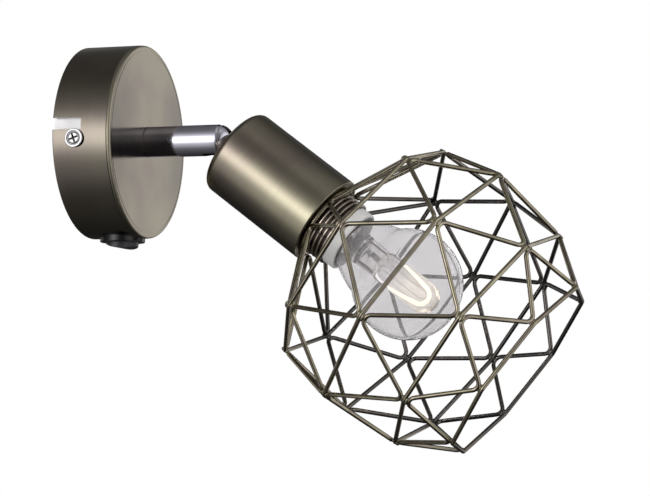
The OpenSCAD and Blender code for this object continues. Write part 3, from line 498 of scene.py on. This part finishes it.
def traceLine(name, points):
    # one vertex, pulled from point to point; edit mode stays on
    clearSelection()
    bpy.ops.mesh.primitive_plane_add(size=2 * mm, location=(0, 0, 0))
    piece = bpy.context.active_object
    piece.name = name
    bpy.ops.object.mode_set(mode="EDIT")
    bpy.ops.mesh.merge(type="CENTER")
    bpy.ops.transform.translate(value=points[0])
    for start, end in zip(points, points[1:]):
        bpy.ops.mesh.extrude_vertices_move(TRANSFORM_OT_translate={"value": Vector(end) - Vector(start)})
    return piece


def rounded(corners):
    # corners are (radius, height) or (radius, height, fillet), in millimetres, round a closed outline.
    # a short straight run on both sides of each fillet keeps the shading of the faces beside it flat
    points = []
    count = len(corners)
    for i, corner in enumerate(corners):
        here = Vector(corner[:2])
        fillet = corner[2] if len(corner) > 2 else 0
        if not fillet:
            points.append(here)
            continue
        before = (Vector(corners[i - 1][:2]) - here).normalized()
        after = (Vector(corners[(i + 1) % count][:2]) - here).normalized()
        half = before.angle(after) / 2
        run = fillet / math.tan(half)
        border = run + min(0.12, fillet * 0.3)
        centre = here + (before + after).normalized() * fillet / math.sin(half)
        steps = max(3, min(8, round(fillet * 4) + 2))
        first = here + before * run - centre
        last = here + after * run - centre
        sweep = first.angle_signed(last)
        points.append(here + before * border)
        for s in range(steps + 1):
            points.append(centre + Matrix.Rotation(-sweep * s / steps, 2) @ first)
        points.append(here + after * border)
    return points


def spinOutline(name, points, steps=96):
    # spins a closed outline of (radius, height) in millimetres round the z axis
    trail = [Vector((p[0] * mm, 0, p[1] * mm)) for p in points]
    piece = traceLine(name, trail + [trail[0]])
    joinPoints()
    bpy.ops.mesh.spin(steps=steps, angle=2 * math.pi, center=(0, 0, 0), axis=(0, 0, 1))
    joinPoints()
    bpy.ops.mesh.normals_make_consistent(inside=False)
    bpy.ops.object.mode_set(mode="OBJECT")
    return piece


def roundWire(line, radius, caps=False):
    # turns a traced line into a round wire of that radius in millimetres
    pick(line)
    bpy.ops.object.convert(target="CURVE")
    curve = bpy.context.active_object.data
    curve.bevel_depth = radius * mm
    curve.bevel_resolution = 3
    curve.use_fill_caps = caps
    bpy.ops.object.convert(target="MESH")
    return bpy.context.active_object


def seat(piece, matrix):
    # moves a piece and puts its new place into its mesh
    pick(piece)
    piece.matrix_world = matrix @ piece.matrix_world
    bakePlace()


def cutWith(piece, cutter, operation="DIFFERENCE"):
    pick(piece)
    change = piece.modifiers.new("cut", "BOOLEAN")
    change.object = cutter
    change.operation = operation
    change.solver = "EXACT"
    bpy.ops.object.modifier_apply(modifier=change.name)
    bpy.data.objects.remove(cutter)


def softenEdges(piece, width, segments=2, angle=35):
    pick(piece)
    change = piece.modifiers.new("soften", "BEVEL")
    change.width = width * mm
    change.segments = segments
    change.limit_method = "ANGLE"
    change.angle_limit = math.radians(angle)
    bpy.ops.object.modifier_apply(modifier=change.name)


def boxAt(low, high):
    # a block between two corners, in millimetres
    clearSelection()
    bpy.ops.mesh.primitive_cube_add(size=1, location=[(a + b) / 2 * mm for a, b in zip(low, high)],
                                    scale=[(b - a) * mm for a, b in zip(low, high)])
    bakePlace()
    return bpy.context.active_object


def rodAt(radius, start, end, sides=48):
    # a rod between two points, in millimetres
    clearSelection()
    way = Vector(end) - Vector(start)
    bpy.ops.mesh.primitive_cylinder_add(vertices=sides, radius=radius * mm, depth=way.length * mm,
                                        location=(Vector(start) + Vector(end)) / 2 * mm,
                                        rotation=way.to_track_quat("Z", "Y").to_euler())
    bakePlace()
    return bpy.context.active_object


def finishPiece(piece, matrix, material, body, nodes=(), smooth=32):
    seat(piece, matrix)
    pick(piece)
    bpy.ops.object.shade_smooth_by_angle(angle=math.radians(smooth))
    piece.data.materials.clear()
    piece.data.materials.append(material)
    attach(piece, body)
    if nodes:
        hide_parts(*nodes)


# canopy, with a bead and a groove round its face and a fine step below the edge
canopy = {"radius": 40.2, "depth": 25, "wall": 1.2, "edge": 0.95, "beadIn": 38.6, "grooveWide": 0.25,
          "grooveDeep": 0.09, "stepIn": 0.12, "stepLow": 1.75, "stepHigh": 1.05, "faceSink": 0.02,
          "notchLow": 0.8, "notchHigh": 5.6, "notchDeep": 12.4, "screwDrop": 2.9, "screwOut": 9.8,
          "screwSlot": 2.3, "switchOut": 14.0, "switchHole": 8.25, "armHole": 5.05, "cutFrom": 35,
          "cutTo": 44}


def canopyOutline():
    c = canopy
    radius, top = c["radius"], c["depth"]
    face, inside, underside = top - c["faceSink"], radius - c["wall"], top - c["wall"]
    groove = [c["beadIn"] - k * c["grooveWide"] for k in range(4)]
    corners = [(radius, 0, 0.35)] + [(radius, h) for h in (4, 8, 12, 16, 20, 22)]
    corners += [(radius, top - c["stepLow"], 0.25), (radius - c["stepIn"], top - c["stepLow"] + 0.3, 0.12),
                (radius - c["stepIn"], top - c["stepHigh"] - 0.25, 0.1),
                (radius - c["stepIn"] / 2, top - c["stepHigh"], 0.12), (radius - 0.1, top, c["edge"])]
    corners += [(groove[0], top, 0.2), (groove[1], top - c["grooveDeep"], 0.1),
                (groove[2], top - c["grooveDeep"], 0.1), (groove[3], face, 0.25)]
    corners += [(r, face) for r in (30, 20, 12)] + [(c["armHole"], face, 0.2), (c["armHole"], underside)]
    return rounded(corners + [(inside, underside, 0.6), (inside, 0, 0.35)])


def makeCanopy():
    c = canopy
    piece = spinOutline("canopy_cup", canopyOutline(), steps=144)

    def wallBlock(side, across, out):
        # a cutting block through the wall; the right one is the left one turned half round
        xs = sorted((side * c["cutFrom"], side * c["cutTo"]))
        ys = sorted(-side * y for y in across)
        return boxAt([xs[0], ys[0], out[0]], [xs[1], ys[1], out[1]])

    for side in (-1, 1):
        cutWith(piece, wallBlock(side, (c["notchLow"], c["notchHigh"]), (-1, c["notchDeep"])))
        cutWith(piece, rodAt(c["screwSlot"], (side * c["cutTo"], side * c["screwDrop"], c["screwOut"]),
                             (side * c["cutFrom"], side * c["screwDrop"], c["screwOut"]), 32))
        cutWith(piece, wallBlock(side, (-c["screwDrop"], c["notchLow"] + 1),
                                 (c["screwOut"] - c["screwSlot"], c["screwOut"] + c["screwSlot"])))
    cutWith(piece, rodAt(c["switchHole"], (0, -c["cutTo"], c["switchOut"]),
                         (0, 1 - c["cutFrom"], c["switchOut"]), 64))
    finishPiece(piece, wallFrame, canopyBrass, "base", ["canopy"], 28)


makeCanopy()

# the raised middle of the head holds the cross recess, whose arms are turned by the two angles
screws = {"head": 3.85, "rim": 1.1, "rimIn": 2.95, "groove": 0.6, "boss": 2.5, "bossTop": 1.25, "shank": 2.0,
          "length": 4.6, "recess": 0.8, "reach": 1.9, "floor": 0.15, "turns": (20, 110), "proud": 0.02}


def makeSideScrews():
    s = screws
    outline = rounded([
        (0, s["bossTop"]), (s["boss"] - 0.5, s["bossTop"] - 0.05, 0.4), (s["boss"], s["groove"], 0.12),
        (s["rimIn"], s["groove"], 0.12), (s["rimIn"] + 0.1, s["rim"], 0.08), (s["head"], s["rim"], 0.35),
        (s["head"], 0, 0.12), (s["shank"], 0), (s["shank"], -s["length"], 0.3), (0, -s["length"])])
    master = spinOutline("side_screw_left", outline, steps=56)
    for turn in s["turns"]:
        cutter = boxAt([-s["reach"], -s["recess"] / 2, s["floor"]], [s["reach"], s["recess"] / 2, 4])
        seat(cutter, Matrix.Rotation(math.radians(turn), 4, "Z"))
        cutWith(master, cutter)
    cutWith(master, spinOutline("recessCone", [(0, 0.05), (0.9, 1.5), (0.9, 4), (0, 4)], steps=32))
    softenEdges(master, 0.07, 2, 40)
    pick(master)
    bpy.ops.object.duplicate()
    other = bpy.context.active_object
    other.name = "side_screw_right"
    for piece, side in ((master, -1), (other, 1)):
        spotOnWall = (side * (canopy["radius"] + s["proud"]) * mm, side * canopy["screwDrop"] * mm,
                      canopy["screwOut"] * mm)
        place = wallFrame @ Matrix.Translation(spotOnWall) @ Matrix.Rotation(math.radians(side * 90), 4, "Y")
        finishPiece(piece, place, screwSteel, "base", ["side_screws"] if side < 0 else (), 30)


makeSideScrews()
print("canopy and its screws ready")

# heights are distances from the canopy's axis; the switch's frame points down out of the canopy
switch = {"collar": 9.35, "collarTop": 38.1, "collarCut": 41.7, "body": 8.2, "low": 41.9, "top": 27.2,
          "bore": 7.45, "boreTop": 32.5, "gap": 0.02, "rocker": 7.0, "rockerHigh": 8, "bulge": 1.8,
          "lean": 8, "pivot": 39.8, "endDrop": 2.6}
switchFrame = wallFrame @ Matrix.Translation((0, 0, canopy["switchOut"] * mm)) \
    @ Matrix.Rotation(math.radians(90), 4, "X")


def makeSwitch():
    s = switch
    outline = rounded([
        (0, s["top"]), (s["body"], s["top"], 0.3), (s["body"], s["collarTop"]),
        (s["collar"], s["collarTop"], 0.1), (s["collar"], s["low"], 0.55), (s["bore"] + 0.5, s["low"], 0.2),
        (s["bore"], s["low"] - 0.6, 0.15), (s["bore"], s["boreTop"]), (0, s["boreTop"])])
    housing = spinOutline("switch_body", outline, steps=80)
    # the collar sits on the canopy's round wall, so what lies inside the canopy is cut off it
    ring = s["body"] + s["gap"]
    insideWall = spinOutline("insideWall", [(ring, 30), (12, 30), (12, s["collarCut"]),
                                            (ring, s["collarCut"])], steps=80)
    cutWith(insideWall, rodAt(canopy["radius"] + s["gap"], (0, -30, 0), (0, 30, 0), 160), "INTERSECT")
    cutWith(housing, insideWall)
    finishPiece(housing, switchFrame, switchBlack, "base", ["switch_housing"], 32)

    # the rocker is a disc with a bulged face, cut out by a wide rod
    bulgeRadius = (s["rocker"] ** 2 + s["bulge"] ** 2) / (2 * s["bulge"])
    centre = s["endDrop"] + s["bulge"] - bulgeRadius
    rocker = rodAt(s["rocker"], (0, 0, -1.2), (0, 0, s["rockerHigh"] - 1.2), 80)
    rocker.name = "switch_rocker_cap"
    cutWith(rocker, rodAt(bulgeRadius, (-20, 0, centre), (20, 0, centre), 192), "INTERSECT")
    softenEdges(rocker, 0.7, 4, 30)
    lean = Matrix.Translation((0, 0, s["pivot"] * mm)) @ Matrix.Rotation(math.radians(s["lean"]), 4, "X")
    finishPiece(rocker, switchFrame @ lean, rockerBlack, "rocker", ["switch_rocker"], 30)


makeSwitch()
print("switch ready")

# heights are distances from the wall; in the ball and its neck they start at the joint's centre
arm = {"radius": 6.45, "start": 25.0, "dome": 56.05, "seam": 0.3, "seamHalf": 0.12, "bore": 4.3,
       "boreBack": 37, "boreFront": 50, "mouth": 5.05, "slot": 2.75, "slotBack": 52.85, "slotOut": 10,
       "reach": 9, "up": 15, "ball": 4.2, "ballGap": 0.1, "neck": 2.45, "neckEnd": 18.5, "neckBore": 1.8}


def makeArm():
    a = arm
    outside = [(a["radius"] - 0.2, a["start"]), (a["radius"], a["start"] + 0.2)] \
        + [(a["radius"], h) for h in (30, 36, 42, 48, 54)]
    # the domed end has a fine seam between the second and third of its steps
    seamShift = {2: a["seamHalf"], 3: -a["seamHalf"]}
    dome = [(a["radius"] * math.cos(t * math.pi / 40) - (a["seam"] if t in seamShift else 0),
             a["dome"] + a["radius"] * math.sin((t + seamShift.get(t, 0)) * math.pi / 40))
            for t in range(20)] + [(0, a["dome"] + a["radius"])]
    hollow = a["ball"] + a["ballGap"]
    inside = [(0, pivotOut + hollow)] + [
        (hollow * math.sin(t * math.pi / 24), pivotOut + hollow * math.cos(t * math.pi / 24))
        for t in range(1, 13)]
    inside += [(a["bore"], a["boreFront"]), (a["bore"], a["boreBack"]), (a["mouth"], a["boreBack"]),
               (a["mouth"], a["start"])]
    tube = spinOutline("arm_pipe", outside + dome + inside, steps=96)

    # the slot is open over the dome's tip and ends where the lamp's neck stops, at the top and below
    tipUp = math.radians(a["up"])
    upper = (a["slotOut"] * math.sin(tipUp), pivotOut + a["slotOut"] * math.cos(tipUp))
    corners = [(-a["reach"], a["slotBack"]), (-a["reach"], 70), (upper[0] + 1.5, upper[1]),
               (2.65 * math.cos(tipUp) - 1.4, pivotOut + 1.0), (-1.0, a["slotBack"])]
    trail = [Vector((-a["slot"] * mm, y * mm, z * mm)) for y, z in corners]
    cutter = traceLine("slotCutter", trail + [trail[0]])
    joinPoints()
    bpy.ops.mesh.edge_face_add()
    bpy.ops.mesh.extrude_region_move(TRANSFORM_OT_translate={"value": (2 * a["slot"] * mm, 0, 0)})
    bpy.ops.mesh.select_all(action="SELECT")
    bpy.ops.mesh.normals_make_consistent(inside=False)
    bpy.ops.object.mode_set(mode="OBJECT")
    cutWith(tube, cutter)
    cutWith(tube, rodAt(a["slot"], (0, -a["reach"], a["slotBack"]), (0, -1, a["slotBack"])))
    cutWith(tube, rodAt(a["slot"], (0, 0, pivotOut), (0, *upper)))
    finishPiece(tube, wallFrame, armChrome, "arm", ["arm_tube"], 30)

    # the hollow ball is open at the back and runs into its neck at the front
    start = math.atan2(a["neckBore"], -math.sqrt(a["ball"] ** 2 - a["neckBore"] ** 2))
    stop = math.atan2(a["neck"], math.sqrt(a["ball"] ** 2 - a["neck"] ** 2))
    angles = [start + (stop - start) * t / 24 for t in range(25)]
    ball = [(a["ball"] * math.sin(angle), a["ball"] * math.cos(angle)) for angle in angles]
    neck = [(a["neck"], h) for h in (8, 12, a["neckEnd"])] + [(a["neckBore"], a["neckEnd"])]
    stud = spinOutline("ball_stud", ball + neck, steps=64)
    finishPiece(stud, headFrame, shadedJointSteel, "head", ["knuckle_ball"], 35)


makeArm()
print("arm and ball ready")

# heights are distances from the joint's centre, here and in the holder, the bulb and the cage
sleeve = {"radius": 18.85, "wall": 1.2, "back": 7.0, "front": 56.4, "edge": 3.0, "hole": 2.5,
          "ringOut": 17.6, "ringIn": 14.47, "ringBack": 55.2, "ringFront": 56.15}


def makeSleeve():
    s = sleeve
    inside, floor = s["radius"] - s["wall"], s["back"] + s["wall"]
    outline = rounded(
        [(s["hole"], s["back"], 0.15), (6, s["back"]), (11, s["back"]), (s["radius"], s["back"], s["edge"])]
        + [(s["radius"], h) for h in (14, 20, 26, 32, 38, 44, 50)]
        + [(s["radius"], s["front"], 0.35), (inside, s["front"], 0.25), (inside, 30), (inside, floor, 1.8),
           (s["hole"], floor)])
    cup = spinOutline("sleeve_cup", outline, steps=144)
    finishPiece(cup, headFrame, sleeveBrass, "head", ["lamp_sleeve"], 30)
    ring = spinOutline("sleeve_mouth_ring", rounded([
        (s["ringOut"], s["ringBack"]), (s["ringOut"], s["ringFront"], 0.2),
        (s["ringIn"], s["ringFront"], 0.2), (s["ringIn"], s["ringBack"])]), steps=96)
    finishPiece(ring, headFrame, ringBrass, "head", ["sleeve_ring"], 30)


makeSleeve()

# each ridge of the thread rises, runs flat and falls at the four heights of "ridge"; "hidden" ridges lie
# behind the sleeve's mouth
holder = {"crest": 14.4, "root": 13.5, "bore": 13.3, "pitch": 2.0, "ridges": 5, "hidden": 3,
          "ridge": (0.3, 0.78, 1.3, 1.8), "threadBack": 29, "rimFront": 71.4, "rim": 13.25, "mouth": 11.95,
          "lip": 71.1, "socket": 8.2, "socketFront": 67.1, "socketBack": 42.1, "floorBack": 38.1,
          "contactHole": 2.2, "hollow": 11.65, "hollowBack": 15.9, "leadHole": 2.5, "back": 13.5}


def makeHolder():
    h = holder
    start = sleeve["front"]
    end = start + h["ridges"] * h["pitch"]
    outline = [(h["bore"], end), (h["bore"], h["threadBack"]), (h["root"], h["threadBack"])]
    for i in range(-h["hidden"], h["ridges"]):
        z = start + i * h["pitch"]
        rise, crestBack, crestFront, fall = [z + step for step in h["ridge"]]
        # the first corner only gives the first fillet its direction
        outline += rounded([(h["root"], z), (h["root"], rise, 0.12), (h["crest"], crestBack, 0.15),
                            (h["crest"], crestFront, 0.15), (h["root"], fall, 0.12)])[1:]
    thread = spinOutline("holder_screw_thread", outline + [(h["root"], end)], steps=96)
    finishPiece(thread, headFrame, threadBronze, "head", ["holder_thread"], 38)

    body = spinOutline("holder_white_body", rounded([
        (h["rim"], h["back"], 0.3), (h["rim"], 40), (h["rim"], 66), (h["rim"], h["rimFront"], 0.75),
        (h["mouth"], h["rimFront"], 0.35), (h["mouth"], h["lip"]), (h["socket"], h["socketFront"]),
        (h["socket"], h["socketBack"]), (h["contactHole"], h["socketBack"]),
        (h["contactHole"], h["floorBack"]), (h["hollow"], h["floorBack"]), (h["hollow"], h["hollowBack"]),
        (h["leadHole"], h["hollowBack"]), (h["leadHole"], h["back"])]), steps=96)
    finishPiece(body, headFrame, holderWhite, "head", ["holder_body"], 35)


makeHolder()
print("sleeve and holder ready")

# bulb: the glass is a neck and a ball; in it are a stem, a capsule with a flat pinch, and a filament
bulb = {"foot": 43.7, "capBack": 3.6, "capFront": 68.7, "cap": 6.9, "capWaist": 6.45, "capBore": 5.95,
        "ridges": 6, "pitch": 2.8, "neckTop": 16.0, "centre": 99.4, "radius": 22.3, "glass": 0.8,
        "tip": 121.7, "ballSteps": 90, "spin": 180, "stem": 6.4, "stemIn": 2.2, "stemLow": 69.55,
        "stemTop": 77.4}
capsule = {"radius": 6.5, "wall": 1, "low": 77.6, "high": 114.4, "pinchLong": 8, "pinchHalf": 1.6,
           "pinchWide": 6}
filament = {"half": 2.2, "foot": 3.75, "low": 94.4, "high": 106.9, "thick": 0.55}


def bulbProfile(inset):
    # the glass's outline from the cap to the tip, moved inwards
    b = bulb
    neck = [(7.9, b["capFront"]), (8.6, b["capFront"] + 0.6), (9.2, b["capFront"] + 1.6), (10.2, 70.6),
            (11.3, 72.2), (12.5, 74.6), (13.9, 77.6), (15.2, 80.9)]
    start = math.asin(b["neckTop"] / b["radius"])
    angles = [start + (math.pi - start) * t / b["ballSteps"] for t in range(b["ballSteps"] + 1)]
    ball = [(b["radius"] * math.sin(angle), b["centre"] - b["radius"] * math.cos(angle)) for angle in angles]
    points = [Vector(p) for p in neck + ball]
    moved = []
    for i, p in enumerate(points):
        way = (points[min(i + 1, len(points) - 1)] - points[max(i - 1, 0)]).normalized()
        moved.append(p + Vector((-way.y, way.x)) * inset)
    moved[-1] = Vector((0, b["tip"] - inset))
    return [(p.x, p.y) for p in moved]


def quarterDome(radius, top):
    # a quarter circle of (radius, height) that ends on the axis
    return [(radius * math.cos(t * math.pi / 32), top - radius + radius * math.sin(t * math.pi / 32))
            for t in range(16)] + [(0, top)]


def makeBulb():
    b = bulb
    inside = bulbProfile(b["glass"])
    inside[0] = (7.1, b["capFront"])
    glass = spinOutline("golf_bulb_glass", bulbProfile(0) + inside[::-1], steps=b["spin"])
    finishPiece(glass, headFrame, bulbClear, "head", ["bulb_glass"], 60)

    capBack = b["foot"] + b["capBack"]
    outline = [(b["capBore"], b["capFront"]), (b["capBore"], capBack), (6.3, capBack)]
    for i in range(b["ridges"]):
        z = capBack + 0.6 + i * b["pitch"]
        outline += [(b["capWaist"], z), (6.7, z + 0.45), (b["cap"], z + 0.95), (b["cap"], z + 1.5),
                    (6.7, z + 2.05), (b["capWaist"], z + 2.5)]
    outline += [(b["capWaist"], b["capFront"] - 2.0), (6.65, b["capFront"] - 1.8), (6.65, b["capFront"])]
    cap = spinOutline("bulb_screw_cap", outline, steps=72)
    finishPiece(cap, headFrame, capNickel, "head", ["bulb_cap"], 50)

    stem = spinOutline("bulb_glass_stem", rounded([
        (b["stemIn"], b["stemLow"]), (b["stem"], b["stemLow"], 0.3), (b["stem"], b["stemTop"], 0.7),
        (b["stemIn"], b["stemTop"], 0.3)]), steps=48)
    finishPiece(stem, headFrame, stemClear, "head", ["bulb_stem"], 40)


def makeCapsule():
    c = capsule
    low = c["low"] + c["pinchLong"]
    inner = c["radius"] - c["wall"]
    outline = [(0, low), (4.6, low), (5.9, low + 0.8), (c["radius"], low + 2.2)] \
        + quarterDome(c["radius"], c["high"]) + quarterDome(inner, c["high"] - c["wall"])[::-1] \
        + [(inner, low + 3.4), (4.9, low + 2.2), (3.6, low + 1.6), (0, low + 1.5)]
    glass = spinOutline("halogen_capsule", outline, steps=64)
    finishPiece(glass, headFrame, capsuleClear, "head", ["capsule_glass"], 50)

    # the lit wire goes up, over and down, with legs that lean together at the top
    f = filament
    lean = math.atan2(f["foot"] - f["half"], f["high"] - f["low"])
    arc = [Vector((0, f["half"] * math.cos(angle), f["high"] + f["half"] * math.sin(angle)))
           for angle in (lean + (math.pi - 2 * lean) * k / 12 for k in range(13))]
    trail = [Vector((0, f["foot"], f["low"]))] + arc + [Vector((0, -f["foot"], f["low"]))]
    line = traceLine("capsule_coil", [p * mm for p in trail])
    bpy.ops.object.mode_set(mode="OBJECT")
    coil = roundWire(line, f["thick"], caps=True)
    finishPiece(coil, headFrame, filamentGlow, "head", ["capsule_filament"], 60)

    pinch = boxAt([-c["pinchHalf"], -c["pinchWide"], c["low"]], [c["pinchHalf"], c["pinchWide"], low - 0.05])
    pinch.name = "capsule_pinch"
    softenEdges(pinch, 0.5, 3, 40)
    finishPiece(pinch, headFrame, pinchClear, "head", (), 40)


makeBulb()
makeCapsule()
print("bulb ready")

# cage: a round foot ring, then four eight sided rings that are half a side turned against each other, with
# a zigzag wire between each two. "low" and "high" are the radii of each zigzag's lower and upper bends
cage = {"sides": 8, "wire": 0.9, "turn": -9.4, "ringBend": 2.5, "gap": 0.05, "passes": 6, "footSteps": 72,
        "radii": [15.35, 50.8, 58.5, 51.6, 40.9], "heights": [57.35, 77.25, 106.35, 135.15, 155.85],
        "low": [0, 2.0, 2.9, 2.9, 2.9], "high": [0, 1.3, 2.9, 2.9, 2.9]}
levels = range(1, len(cage["radii"]))
sideAngle = math.radians(360 / cage["sides"])


def ringAngle(level, k):
    return math.radians(cage["turn"]) + sideAngle * (k + (0.5 if level % 2 == 0 else 0))


def spot(place, angle):
    # a point from (radius, height) and an angle round the lamp's axis
    return Vector((place[0] * math.cos(angle), place[0] * math.sin(angle), place[1]))


def moved(joint, here, there, bend):
    # the bend's corner for which the bent wire lies in its joint, just clear of the ring
    way = Vector((there[0] * math.cos(sideAngle / 2), there[1])) - here
    half = math.atan(there[0] * math.sin(sideAngle / 2) / way.length)
    return joint + (2 * cage["wire"] + cage["gap"] - bend * (1 / math.sin(half) - 1)) * way.normalized()


def zigCorners(level):
    # each corner's place depends on the other one's, so they are found in a few passes
    lowJoint = Vector((cage["radii"][level - 1], cage["heights"][level - 1]))
    highJoint = Vector((cage["radii"][level], cage["heights"][level]))
    low, high = lowJoint, highJoint
    for _ in range(cage["passes"]):
        low, high = (moved(lowJoint, low, high, cage["low"][level]),
                     moved(highJoint, high, low, cage["high"][level]))
    return low, high


def bentRoute(corners, bends, steps):
    # a closed route along the corners, with an arc of its own radius at each
    points = []
    count = len(corners)
    ways = [(corners[(k + 1) % count] - corners[k]).normalized() for k in range(count)]
    for k in range(count):
        before, after = ways[k - 1], ways[k]
        turn = before.angle(after)
        inward = before.cross(after).normalized().cross(before)
        middle = corners[k] - bends[k] * math.tan(turn / 2) * before + bends[k] * inward
        for step in range(steps + 1):
            angle = turn * step / steps
            points.append(middle + bends[k] * (math.sin(angle) * before - math.cos(angle) * inward))
    return points


def wirePiece(name, points, node):
    trail = [p * mm for p in points]
    line = traceLine(name, trail + [trail[0]])
    joinPoints()
    bpy.ops.object.mode_set(mode="OBJECT")
    finishPiece(roundWire(line, cage["wire"]), headFrame, cageBrass, "head", [node], 70)


def makeCage():
    sides = range(cage["sides"])
    for level in levels:
        reach = cage["radii"][level] + cage["ringBend"] * (1 / math.cos(sideAngle / 2) - 1)
        ring = [spot((reach, cage["heights"][level]), ringAngle(level, k)) for k in sides]
        wirePiece(f"cage_hoop_{level}", bentRoute(ring, [cage["ringBend"]] * len(ring), 6),
                  f"cage_ring_{level}")
        low, high = zigCorners(level)
        zig = []
        for k in sides:
            zig += [spot(low, ringAngle(level - 1, k)), spot(high, ringAngle(level - 1, k) + sideAngle / 2)]
        bends = [cage["low"][level], cage["high"][level]] * cage["sides"]
        wirePiece(f"cage_zig_wire_{level}", bentRoute(zig, bends, 8), f"cage_zigzag_{level}")
    foot = [spot((cage["radii"][0], cage["heights"][0]), math.radians(360 / cage["footSteps"] * k))
            for k in range(cage["footSteps"])]
    wirePiece("cage_foot_ring", foot, "cage_base_ring")


makeCage()

# each weld is an oval blob on the wires' contact, below a ring and, but for the last one, above it
weld = {"long": 1.7, "wide": 1.05, "deep": 0.78, "lift": 0.9, "sink": 0.1}


def makeWelds():
    clearSelection()
    bpy.ops.mesh.primitive_uv_sphere_add(segments=16, ring_count=10, radius=1 * mm)
    master = bpy.context.active_object
    bpy.ops.object.mode_set(mode="EDIT")
    bpy.ops.mesh.select_all(action="SELECT")
    bpy.ops.transform.resize(value=(weld["deep"], weld["long"], weld["wide"]))
    bpy.ops.object.mode_set(mode="OBJECT")
    for level in levels:
        lifts = [-weld["lift"]] if level == levels[-1] else [-weld["lift"], weld["lift"]]
        copies = []
        for k in range(cage["sides"]):
            angle = ringAngle(level, k)
            for lift in lifts:
                pick(master)
                bpy.ops.object.duplicate()
                blob = bpy.context.active_object
                place = spot((cage["radii"][level] - weld["sink"], cage["heights"][level] + lift), angle)
                blob.matrix_world = Matrix.Translation(place * mm) @ Matrix.Rotation(angle, 4, "Z")
                bakePlace()
                copies.append(blob)
        clearSelection()
        for blob in copies:
            blob.select_set(True)
        bpy.context.view_layer.objects.active = copies[0]
        bpy.ops.object.join()
        joined = bpy.context.active_object
        joined.name = f"cage_welds_{level}"
        finishPiece(joined, headFrame, weldBrass, "head", (), 70)
    bpy.data.objects.remove(master)


makeWelds()
print("cage ready")

# finishes of the CAD pieces that stay
kept = {
    "wall_bracket": bracketZinc, "terminal_block": holderWhite, "terminal_sleeves": contactBrass,
    "terminal_screws": zincSteel, "block_screw": zincSteel, "cable_grommet": grommetRubber,
    "earth_screw": zincSteel, "earth_lead": leadEarth, "live_lead": leadBrown, "neutral_lead": leadBlue,
    "switched_lead": leadBrown, "switch_terminals": contactBrass, "arm_nipple": zincSteel,
    "arm_washer": zincSteel, "arm_nut": zincSteel, "joint_spring": zincSteel, "ball_seat": contactBrass,
    "arm_leads": leadBrown, "stud_washer": zincSteel, "stud_nut": zincSteel,
    "holder_centre_contact": contactBrass, "holder_side_contact": contactBrass,
    "holder_terminals": contactBrass, "head_leads": leadBrown, "bulb_insulator": capGlass,
    "bulb_contact": contactBrass, "capsule_wires": leadInBrown}
for nodeName, material in kept.items():
    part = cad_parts[nodeName]
    if not part.material_slots:
        part.data.materials.append(material)
    for place in part.material_slots:
        place.material = material
print("kept pieces finished")
